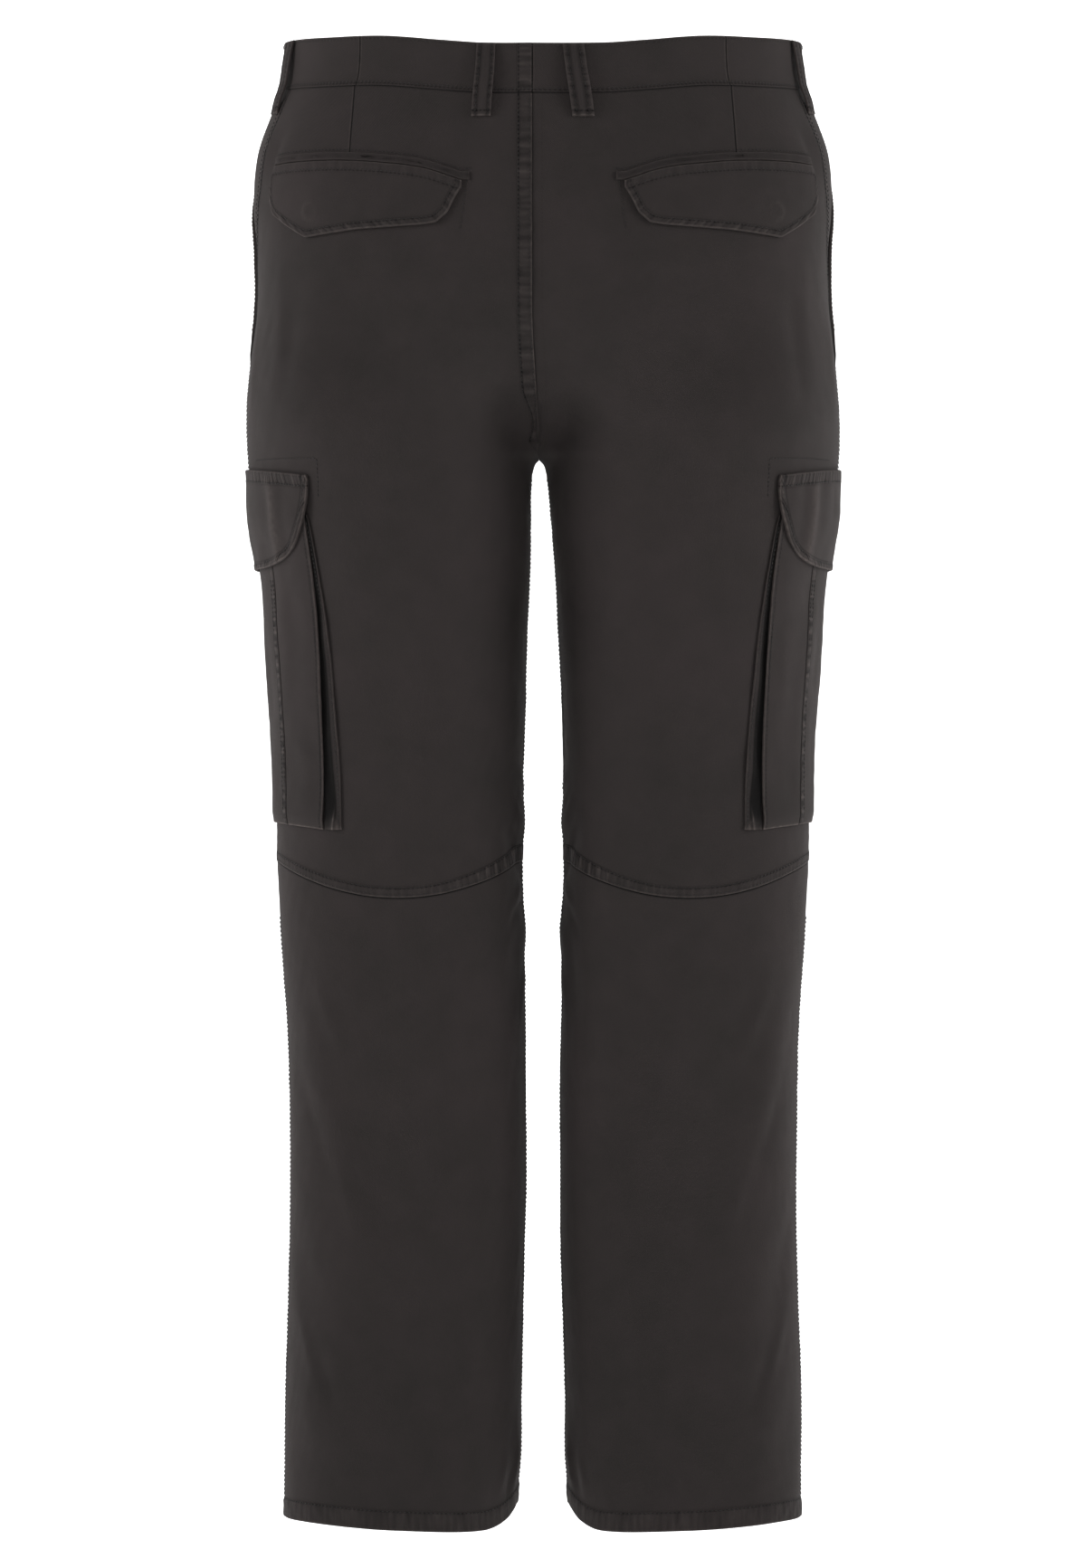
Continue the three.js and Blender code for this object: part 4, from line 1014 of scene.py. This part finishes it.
        # Edge wear, with painted highlights on the ripple crests and along the crease.
        wear_and_highlight = 0.3 * groove(free, 0, 1.1) + 0.25 * rim * np.maximum(0, ripple) + 0.35 * fold
        sewn = [band(free, 5.2, (s - z) * 1.7, 0.8, 1.3), band(below_top, 9.6, s * 1.7, 0.7, 0.7)]
        return height, wear_and_highlight, 0, sewn

    arc = np.concatenate([np.linspace(0, 50, 24), 50 + 80 * np.sin(np.linspace(0.05, math.pi / 2, 38))])
    s_line = np.concatenate([-arc[:0:-1], arc])
    flat_piece(f"cloth_cargo_flap_{half}", half, s_line, cflap_top, cflap_bottom, 34, from_side, cflap_lift,
               CFLAP_CLOTH, radius=1.5, drop=1.0, extra=flap_detail)

    s = np.linspace(-CFLAP_HALF + 3, CFLAP_HALF - 3, 120)
    sew(half, np.stack([s, cflap_top(s) - 8.3], 1), from_side, cflap_lift)
    s = CFLAP_HALF * np.sin(np.linspace(-1, 1, 160) * math.pi / 2)
    rim = inset(np.stack([s, cflap_bottom(s)], 1), 4)
    sew(half, rim[(np.abs(rim[:, 0]) < CFLAP_HALF - 3.5)], from_side, cflap_lift)
    for facing in (1, -1):
        level = np.linspace(-385, -556, 90)
        for offset in (1.4, FELL - 2.2):
            sew(half, np.stack([facing * (CARGO_SEAM - offset) + 0 * level, level], 1), around_of,
                lambda s, z: lift_of(s, z) + 0.4)
        sew(half, np.stack([facing * (FACE_TOP_HALF - 2.7) + 0 * level, level], 1), around_of, lift_of)
        s = facing * np.linspace(60, 142, 40)
        line = np.stack([s, -294.5 - 2.6 * np.abs(s / 142) ** 2], 1)
        corner = np.stack([facing * np.linspace(142, 134, 16), np.linspace(-299, -324, 16)], 1)
        sew(half, np.concatenate([line, corner]), from_side, on_leg)


for side in ("left", "right"):
    cargo_pocket(side)


# %% [markdown]
# ## Belt loops, fly and tab

# %%
# Straps and the front closing
LOOP_LENGTH, LOOP_CLOTH, LOOP_STANDOFF, LOOP_TACK = 55, 1.6, 2.8, 0.8


def loop_lift(share):
    """How high a strap is tacked, and how far it stands off between its ends."""
    tack = LOOP_TACK + mix(BAND_LIFT, 0, smooth((share - 0.75) / 0.25))
    return tack, LOOP_STANDOFF * np.sin(math.pi * share) ** 0.8


def belt_loop(name, half, at, wide, slant):
    """A strap tacked at both ends. Its edges are folded in and meet in a ridge down the middle."""
    edges = (0, 0.3, 0.8)
    across, down = np.meshgrid(spread(0, wide, 0.8, edges), spread(0, LOOP_LENGTH, 1.4, edges))
    share = down / LOOP_LENGTH
    top = float(band_top(at)) - 1
    z = top - down
    tack, stand = loop_lift(share)
    aside = across - wide / 2 + slant * (z - top + LOOP_LENGTH / 2)
    around = nudge(np.full(z.shape, at), z, aside)
    side = np.minimum(across, wide - across)
    edge = np.minimum(side, np.minimum(down, LOOP_LENGTH - down))
    pinch = groove(down, 3.2, 1.6) + groove(down, LOOP_LENGTH - 3.2, 1.6)
    knots = np.sin(down / 1.9 + (1.5 if half == "left" else 0.4)) * np.sin(down / 4.3)
    height = tack + stand + LOOP_CLOTH + edge_round(edge, 1.0, 0.6)
    height += 0.22 * groove(side, 1.2, 1.1) - 0.25 * groove(side, 3.2, 0.9) - 0.35 * pinch
    height += 0.4 * groove(across, wide / 2, 1.6) * (1 + 0.5 * knots) + 0.12 * knots * groove(side, 1.2, 1.3)
    tips = np.maximum(groove(down, 0, 1.2), groove(down, LOOP_LENGTH, 1.2))
    wear_and_highlight = 0.12 * groove(side, 0.3, 0.8) + 0.35 * tips
    # Painted shade in the dip a little in from each side of the strap.
    painted_shade = 0.45 * groove(side, 3.4, 1.1)
    base = relief(half, around, z) * smooth((share - 0.6) / 0.3)
    bands = [band(side, 4.4, down * 1.4, 0.15, 0.55), band(LOOP_LENGTH - down, 5.0, across, 0.8)]
    wall(f"cloth_{name}_{half}", half, around, z, base + height, base + tack + stand, wear_and_highlight, painted_shade,
         uv=(aside, z), bands=bands)
    down = np.linspace(1, LOOP_LENGTH - 1, 40)
    level = top - down
    tack, stand = loop_lift(down / LOOP_LENGTH)
    for aside in (-wide / 2 + 3, wide / 2 - 3):
        place_at = nudge(np.full(level.shape, at), level, aside + slant * (level - top + LOOP_LENGTH / 2))
        stitch_line(half, place_at, level, tack + stand + LOOP_CLOTH + 0.1)


AT_WAIST = np.array(-10.0)
belt_loop("belt_loop_back", "left", float(from_centre(AT_WAIST, 40.5)), 16.8, 0.03)
belt_loop("belt_loop_back", "right", float(from_centre(AT_WAIST, 29.0)), 13.4, 0.08)
for side in ("left", "right"):
    belt_loop("belt_loop_side", side, float(nudge(np.array(SIDE_LEAN), np.array(0.0), -1.0)), 14.5, 0.1)
    belt_loop("belt_loop_front", side, float(from_centre(AT_WAIST, 100.0, -1)), 14.5, 0.0)

FLY_WIDTH, FLY_BOTTOM, FLY_CLOTH, FLY_LIFT = 38, -182, 1.1, 0.4
TAB_LENGTH, TAB_CLOTH, TAB_GAP = 26, 2.0, 0.4


def fly_width(z):
    return FLY_WIDTH * np.sqrt(1 - clamp((-140 - z) / (-140 - FLY_BOTTOM), 0, 0.97) ** 2)


share, down = np.meshgrid(spread(0, 38, 2.2) / 38, spread(0, 147, 2.6) / 147)
z = mix(float(band_bottom(-1)) - SEAM_GAP, FLY_BOTTOM, down)
distance = mix(0.4, fly_width(z), share)
around = from_centre(z, distance, -1)
base = relief("left", around, z)
edge = np.minimum(distance, fly_width(z) - distance)
outer = base + FLY_LIFT + FLY_CLOTH + edge_round(edge, 1.0, 0.6)
# The fly's edges are worn, and a line a little in from its free edge gets painted shade.
wall("cloth_fly", "left", around, z, outer, base + FLY_LIFT, 0.6 * groove(edge, 0, 1.2),
     0.4 * groove(fly_width(z) - distance, 4, 0.9), uv=(distance, z))
level = np.linspace(-38, FLY_BOTTOM + 3, 90)
for offset in (4.0, 7.0):
    at = from_centre(level, np.maximum(2, fly_width(level) - offset), -1)
    sew_above("left", at, level, FLY_LIFT + FLY_CLOTH + 0.1)

share, down = np.meshgrid(spread(0, TAB_LENGTH, 2) / TAB_LENGTH, spread(0, BAND_HEIGHT, 2.4) / BAND_HEIGHT)
z = mix(float(band_top(-1)), float(band_bottom(-1)), down)
distance = mix(0.2, TAB_LENGTH, share)
around = from_centre(z, distance, -1)
lift = BAND_LIFT + TAB_GAP + TAB_CLOTH
edge = np.minimum(np.minimum(distance, TAB_LENGTH - distance), np.minimum(down, 1 - down) * BAND_HEIGHT)
# The tab's edges are worn, with painted shade a little inside them.
wall("cloth_waistband_tab", "right", around, z, lift + edge_round(edge, 1.3, 0.8), lift - TAB_CLOTH + 0 * z,
     0.7 * groove(edge, 0, 1.4), 0.3 * groove(edge, 3, 0.8), uv=(distance, z))


# %% [markdown]
# ## Sewing thread
# Each row of stitches is a line of points with the cloth's outward direction. A node group walks
# the line in steps and lays a small spindle of thread at each step.

# %%
# Stitches by geometry nodes, in metres
STITCH_PITCH, STITCH_LENGTH, STITCH_THICKNESS = 0.0033, 0.0024, 0.00062


def stitch_group():
    tree = bpy.data.node_groups.new("stitches", "GeometryNodeTree")
    inputs = (("Geometry", "Geometry"), ("Pitch", "Float"), ("Length", "Float"), ("Thickness", "Float"),
              ("Thread", "Material"))
    for name, kind in inputs:
        tree.interface.new_socket(name, in_out="INPUT", socket_type=f"NodeSocket{kind}")
    tree.interface.new_socket("Geometry", in_out="OUTPUT", socket_type="NodeSocketGeometry")
    add = tree.nodes.new
    given, result = add("NodeGroupInput"), add("NodeGroupOutput")
    to_curve, resample = add("GeometryNodeMeshToCurve"), add("GeometryNodeResampleCurve")
    resample.mode = "LENGTH"
    spindle, shape = add("GeometryNodeMeshUVSphere"), add("GeometryNodeTransform")
    scale = add("ShaderNodeCombineXYZ")
    for key, value in (("Segments", 5), ("Rings", 3), ("Radius", 0.5)):
        spindle.inputs[key].default_value = value
    tangent, facing = add("GeometryNodeInputTangent"), add("GeometryNodeInputNamedAttribute")
    facing.data_type = "FLOAT_VECTOR"
    facing.inputs["Name"].default_value = "facing"
    axes = add("FunctionNodeAxesToRotation")
    axes.primary_axis, axes.secondary_axis = "Z", "X"
    instances, turn = add("GeometryNodeInstanceOnPoints"), add("FunctionNodeRotateRotation")
    turn.rotation_space = "LOCAL"
    jitter = add("FunctionNodeRandomValue")
    for key, value in (("Min", -0.09), ("Max", 0.09), ("Seed", 5)):
        jitter.inputs[key].default_value = value
    by_angle, realize = add("ShaderNodeCombineXYZ"), add("GeometryNodeRealizeInstances")
    paint = add("GeometryNodeSetMaterial")
    for source, out, target, key in (
        (given, "Geometry", to_curve, "Mesh"),
        (to_curve, "Curve", resample, "Curve"),
        (given, "Pitch", resample, "Length"),
        (spindle, "Mesh", shape, "Geometry"),
        (given, "Length", scale, "X"),
        (given, "Thickness", scale, "Y"),
        (given, "Thickness", scale, "Z"),
        (scale, "Vector", shape, "Scale"),
        (resample, "Curve", instances, "Points"),
        (shape, "Geometry", instances, "Instance"),
        (facing, "Attribute", axes, "Primary Axis"),
        (tangent, "Tangent", axes, "Secondary Axis"),
        (axes, "Rotation", turn, "Rotation"),
        (jitter, 1, by_angle, "Z"),
        (by_angle, "Vector", turn, "Rotate By"),
        (turn, "Rotation", instances, "Rotation"),
        (instances, "Instances", realize, "Geometry"),
        (realize, "Geometry", paint, "Geometry"),
        (given, "Thread", paint, "Material"),
        (paint, "Geometry", result, "Geometry"),
    ):
        tree.links.new(source.outputs[out], target.inputs[key])
    return tree


def make_stitches(half, tree, thread):
    points, facings, edges = [], [], []
    for line, facing in STITCH_LINES[half]:
        start = len(points)
        points += (line / 1000).tolist()
        facings += facing.tolist()
        edges += [(start + k, start + k + 1) for k in range(len(line) - 1)]
    guide = bpy.data.meshes.new("stitch_guide")
    guide.from_pydata(points, edges, [])
    guide.attributes.new("facing", "FLOAT_VECTOR", "POINT").data.foreach_set("vector", np.ravel(facings))
    holder = add_object(f"stitch_guide_{half}", guide)
    modifier = holder.modifiers.new("stitches", "NODES")
    modifier.node_group = tree
    values = {"Pitch": STITCH_PITCH, "Length": STITCH_LENGTH, "Thickness": STITCH_THICKNESS, "Thread": thread}
    for item in tree.interface.items_tree:
        if item.in_out == "INPUT" and item.name in values:
            modifier[item.identifier] = values[item.name]
    bpy.context.view_layer.update()
    depsgraph = bpy.context.evaluated_depsgraph_get()
    mesh = bpy.data.meshes.new_from_object(holder.evaluated_get(depsgraph))
    bpy.data.objects.remove(holder)
    mesh.name = f"stitches_{half}"
    mesh.shade_smooth()
    return add_object(f"stitches_{half}", mesh)


# %% [markdown]
# ## Materials
# Shader maths is written as plain arithmetic on sockets. The canvas is a fine twill in a charcoal
# wash: uneven dye, paler where an edge is worn, painted highlights on folded edges, creases and
# pucker crests, and painted shade in the seams and recesses and towards the hems.

# %%
# Socket arithmetic and the canvas
class Socket:
    """A shader value that can be added and multiplied like a number."""

    def __init__(self, tree, output):
        self.tree, self.output = tree, output

    def _math(self, operation, *others, clamped=False):
        node = self.tree.nodes.new("ShaderNodeMath")
        node.operation = operation
        node.use_clamp = clamped
        for k, value in enumerate((self, *others)):
            if isinstance(value, Socket):
                self.tree.links.new(value.output, node.inputs[k])
            else:
                node.inputs[k].default_value = value
        return Socket(self.tree, node.outputs[0])

    def __add__(self, other):
        return self._math("ADD", other)

    def __sub__(self, other):
        return self._math("SUBTRACT", other)

    def __mul__(self, other):
        return self._math("MULTIPLY", other)

    __radd__, __rmul__ = __add__, __mul__

    def sine(self):
        return self._math("SINE")

    def bell(self, at, width):
        """1 where the value is at, falling to 0 over the width."""
        off = (self - at) * (1 / width)
        return (off * off * -1.0)._math("EXPONENT")

    def clamped(self):
        return self._math("ADD", 0.0, clamped=True)


def noise(tree, vector, scale, detail=2.0, seed=0.0):
    node = tree.nodes.new("ShaderNodeTexNoise")
    node.noise_dimensions = "4D"
    node.inputs["Scale"].default_value = scale
    node.inputs["Detail"].default_value = detail
    node.inputs["W"].default_value = seed
    tree.links.new(vector, node.inputs["Vector"])
    return Socket(tree, node.outputs["Fac"])


def attribute(tree, name):
    node = tree.nodes.new("ShaderNodeAttribute")
    node.attribute_name = name
    return Socket(tree, node.outputs["Fac"])


def split(tree, vector):
    parts = tree.nodes.new("ShaderNodeSeparateXYZ")
    tree.links.new(vector, parts.inputs["Vector"])
    return [Socket(tree, parts.outputs[k]) for k in range(3)]


def vector_attribute(tree, name):
    node = tree.nodes.new("ShaderNodeAttribute")
    node.attribute_name = name
    return split(tree, node.outputs["Vector"])


def principled(name):
    """A new material, its node tree and its shader."""
    material = bpy.data.materials.new(name)
    material.use_nodes = True
    tree = material.node_tree
    return material, tree, next(n for n in tree.nodes if n.type == "BSDF_PRINCIPLED")


def object_place(tree):
    return tree.nodes.new("ShaderNodeTexCoord").outputs["Object"]


def bump(tree, height, strength, distance, below=None):
    node = tree.nodes.new("ShaderNodeBump")
    node.inputs["Strength"].default_value = strength
    node.inputs["Distance"].default_value = distance
    tree.links.new(height.output, node.inputs["Height"])
    if below:
        tree.links.new(below, node.inputs["Normal"])
    return node.outputs["Normal"]


DASH_PITCH = 3.3  # mm, the pitch of the stitches


def seam_marks(tree):
    """Painted highlights, painted shade and stitch dashes of the seams, and their relief in mm."""
    seen, puckered = vector_attribute(tree, "seen"), vector_attribute(tree, "puckered")
    light = shade_and_stitch_marks = relief_mm = 0
    for k, key in enumerate("abc"):
        across, rest, along = vector_attribute(tree, f"band_{key}")
        where = tree.nodes.new("ShaderNodeCombineXYZ")
        tree.links.new((along * 0.2).output, where.inputs["X"])
        tree.links.new((across * 0.03).output, where.inputs["Y"])
        pucker = (noise(tree, where.outputs["Vector"], 1.0, 1.0, 3.0 + k) - 0.5) * 6.5
        inside = (across * 0.9).clamped() * (rest * 0.9).clamped() * puckered[k]
        dash = (along * (2 * math.pi / DASH_PITCH)).sine() * 0.5 + 0.5
        ridges = inside * pucker
        # row and second_row are the dark dashes of the stitch rows. fold is a painted highlight along a
        # folded edge and shade a painted shadow beside it; the puckers get painted highlights on their crests
        # and painted shade in their valleys.
        row = rest.bell(1.3, 0.6) * seen[k] * (dash + 0.4)
        fold = across.bell(0.5, 0.5) * seen[k]
        shade = across.bell(-0.5, 0.5) * seen[k] + rest.bell(-0.3, 0.6) * puckered[k] * 0.5
        light = light + fold + ridges.clamped() * 0.7
        second_row = across.bell(1.8, 0.5) * puckered[k] * dash * 0.4
        shade_and_stitch_marks = shade_and_stitch_marks + shade + row + (ridges * -1.0).clamped() * 0.85 + second_row
        relief_mm = relief_mm + ridges * 0.4 + fold * 0.1 - row * 0.3 - shade * 0.3
    # The single lines are painted shade under lapped edges, along the dart and at the waistband's joins, with
    # a painted highlight beside the first.
    first, strength, second = vector_attribute(tree, "lines")
    drawn = first.bell(0, 0.55) * strength + second.bell(0.4, 0.7) * 0.8
    light = light + first.bell(1.1, 0.5) * strength * 0.35
    return light, shade_and_stitch_marks + drawn, relief_mm - drawn * 0.4


def blend_colour(tree, share, a, b):
    node = tree.nodes.new("ShaderNodeMix")
    node.data_type = "RGBA"
    tree.links.new(share.output, node.inputs["Factor"])
    for key, value in (("A", a), ("B", b)):
        socket = next(s for s in node.inputs if s.name == key and s.type == "RGBA")
        if hasattr(value, "is_output"):
            tree.links.new(value, socket)
        else:
            socket.default_value = (*value, 1)
    return next(s for s in node.outputs if s.type == "RGBA")


def srgb(r, g, b):
    return tuple(((v / 255 + 0.055) / 1.055) ** 2.4 if v > 10 else v / 255 / 12.92 for v in (r, g, b))


DYE_DARK, DYE_LIGHT = srgb(41, 39, 37), srgb(62, 55, 55)
# The pale colour is for worn edges and painted highlights; SHADOWED is the colour of painted shade.
PALE_WEAR_AND_HIGHLIGHT, SHADOWED = srgb(118, 108, 104), srgb(7, 6, 6)
TWILL_PITCH, WEFT_PITCH = 0.0011, 0.0007
# From LOW_FROM below the waist downwards the legs get painted shade.
LOW_FROM = 0.75  # metres below the waist where the legs begin to darken


def canvas(name, brighter=1.0, seed=0.0):
    material, tree, shader = principled(name)
    where = object_place(tree)
    uv = tree.nodes.new("ShaderNodeUVMap")
    uv.uv_map = "cloth"
    u, v, _ = split(tree, uv.outputs["UV"])

    cloudy = noise(tree, where, 7.0, 3.0, seed)
    washed = noise(tree, where, 42.0, 3.0, seed + 3)
    yarn = noise(tree, uv.outputs["UV"], 900.0, 1.0, seed + 5)
    scuffs = noise(tree, where, 260.0, 2.0, seed + 7)
    light, shade_and_stitch_marks, relief_mm = seam_marks(tree)
    dye = (cloudy * 0.75 + washed * 0.5 + yarn * 0.35 - 0.3).clamped()
    # Paler for worn edges and for the painted highlights of the seams, broken up by the scuffs noise.
    wear_and_highlight = ((attribute(tree, "wear_and_highlight") * 0.62 + light * 0.4) * (scuffs * 1.5 - 0.1)).clamped()
    # Painted shade that darkens the legs towards the hems.
    low = ((split(tree, where)[2] + LOW_FROM) * -2.5).clamped()
    # Painted shade from seams, recesses and pucker valleys, with the stitch dashes.
    painted_shade = (low * 0.16 + attribute(tree, "painted_shade") * 0.75 + shade_and_stitch_marks * 0.75).clamped()
    colour = blend_colour(tree, dye, DYE_DARK, DYE_LIGHT)
    colour = blend_colour(tree, wear_and_highlight, colour, PALE_WEAR_AND_HIGHLIGHT)
    colour = blend_colour(tree, painted_shade, colour, SHADOWED)
    tree.links.new(colour, shader.inputs["Base Color"])

    twill = ((u + v) * (2 * math.pi / TWILL_PITCH)).sine()
    weft = ((u - v * 0.4) * (2 * math.pi / WEFT_PITCH)).sine()
    slub = bump(tree, washed, 0.4, 0.0009)
    seams = bump(tree, relief_mm, 1.0, 0.001, slub)
    weave = bump(tree, twill * 0.5 + weft * 0.2 + yarn * 1.2 + scuffs * 0.8, 0.55, 0.00022, seams)
    tree.links.new(weave, shader.inputs["Normal"])
    tree.links.new((0.86 + cloudy * 0.1).output, shader.inputs["Roughness"])
    shader.inputs["Specular IOR Level"].default_value = 0.22
    shader.inputs["Sheen Weight"].default_value = 0.12 * brighter
    shader.inputs["Sheen Roughness"].default_value = 0.45
    shader.inputs["Sheen Tint"].default_value = (*srgb(190, 180, 176), 1)
    material.diffuse_color = (*DYE_LIGHT, 1)
    return material


def thread_material():
    material, tree, shader = principled("thread")
    shade = noise(tree, object_place(tree), 500.0, 1.0)
    tree.links.new(blend_colour(tree, shade, srgb(12, 11, 11), srgb(34, 31, 30)), shader.inputs["Base Color"])
    shader.inputs["Roughness"].default_value = 0.7
    shader.inputs["Sheen Weight"].default_value = 0.05
    return material


def button_material():
    material, tree, shader = principled("button_resin")
    swirl = noise(tree, object_place(tree), 220.0, 4.0)
    tree.links.new(blend_colour(tree, swirl, srgb(24, 21, 20), srgb(48, 43, 41)), shader.inputs["Base Color"])
    tree.links.new((0.28 + swirl * 0.25).output, shader.inputs["Roughness"])
    return material


BODY_CANVAS = canvas("canvas_body")
TRIM_CANVAS = canvas("canvas_trim", 1.2, 2.0)
THREAD = thread_material()

# %% [markdown]
# ## What each piece stands for
# Each piece gets its canvas, hangs from the root and takes the place of the imported part of its
# name, which is hidden. The area kept with it is that of its outside.

for name, (obj, area) in PIECES.items():
    node = name.removeprefix("cloth_")
    base = node.removesuffix("_left").removesuffix("_right")
    plain = base in ("back_upper", "back_lower", "front", "hip_pocket_facing")
    obj.data.materials.append(BODY_CANVAS if plain else TRIM_CANVAS)
    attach(obj, "root")
    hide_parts(node)

tree = stitch_group()
for side in ("left", "right"):
    thread = make_stitches(side, tree, THREAD)
    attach(thread, "root")
    print("stitches", side, len(thread.data.polygons))

waist_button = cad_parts["waist_button"]
waist_button.data.materials.clear()
waist_button.data.materials.append(button_material())

# %% [markdown]
# ## Studio
# A level camera above the knees and a pale sweep behind. A large soft light at each side brightens
# the outer legs and leaves the middle darker, and a weak one behind the camera fills in. The floor
# gives less light on the camera's side.

# %%
# Camera, floor, backdrop and lights
DISTANCE, EYE_Z, FRAME_HEIGHT, SENSOR = 4.2, -0.538, 1.19577, 36
FLOOR_Z, FLOOR_FRONT, BACK_Y, BACK_TOP, BACK_HALF, BEND = -1.32, -14.0, 14.0, 18.0, 24.0, 3.0
AIM = (0, 0, -0.2)

camera = bpy.data.cameras.new("camera")
camera.sensor_fit = "VERTICAL"
camera.sensor_height = SENSOR
camera.lens = DISTANCE * SENSOR / FRAME_HEIGHT
camera.clip_end = 60
eye = add_object("camera", camera)
eye.location = (0, -DISTANCE, EYE_Z)
eye.rotation_euler = (math.pi / 2, 0, 0)
bpy.context.scene.camera = eye


def sweep():
    """A floor that curves up into a backdrop."""
    profile = [(FLOOR_FRONT, FLOOR_Z), (BACK_Y - BEND, FLOOR_Z)]
    profile += [(BACK_Y - BEND + BEND * math.sin(t), FLOOR_Z + BEND - BEND * math.cos(t))
                for t in np.linspace(0.05, math.pi / 2, 24)]
    profile.append((BACK_Y, BACK_TOP))
    points = [(x, y, z) for y, z in profile for x in (-BACK_HALF, BACK_HALF)]
    faces = [(2 * k, 2 * k + 1, 2 * k + 3, 2 * k + 2) for k in range(len(profile) - 1)]
    mesh = bpy.data.meshes.new("studio_sweep")
    mesh.from_pydata(points, [], faces)
    mesh.shade_smooth()
    obj = add_object("studio_sweep", mesh)
    paper, tree, shader = principled("studio_paper")
    shader.inputs["Base Color"].default_value = (0.86, 0.86, 0.86, 1)
    shader.inputs["Roughness"].default_value = 0.9
    shader.inputs["Emission Strength"].default_value = 1.0
    # The paper glows as a light of its own, dimmer towards the camera.
    far = ((split(tree, object_place(tree))[1] + 0.3) * 0.9).clamped()
    tree.links.new(blend_colour(tree, far, (0.3, 0.3, 0.3), (1, 1, 1)), shader.inputs["Emission Color"])
    mesh.materials.append(paper)


def softbox(name, place_at, width, height, power):
    light = bpy.data.lights.new(name, "AREA")
    light.shape = "RECTANGLE"
    light.size, light.size_y, light.energy = width, height, power
    obj = add_object(name, light)
    obj.location = place_at
    direction = np.array(AIM) - np.array(place_at)
    yaw = math.atan2(-direction[0], direction[1])
    pitch = math.atan2(direction[2], math.hypot(direction[0], direction[1]))
    obj.rotation_euler = (math.pi / 2 + pitch, 0, yaw)


sweep()
softbox("side_left", (-3.0, -1.2, 0.6), 1.4, 1.8, 44)
softbox("side_right", (3.0, -1.2, 0.6), 1.4, 1.8, 44)
softbox("behind_camera", (0, -4.6, 0.6), 3.0, 2.0, 18)

# Plain display colours, so that white paper is white
bpy.context.scene.view_settings.view_transform = "Standard"

world = bpy.data.worlds.new("studio")
world.use_nodes = True
background = next(n for n in world.node_tree.nodes if n.type == "BACKGROUND")
background.inputs["Color"].default_value = (1, 1, 1, 1)
background.inputs["Strength"].default_value = 0.14
bpy.context.scene.world = world
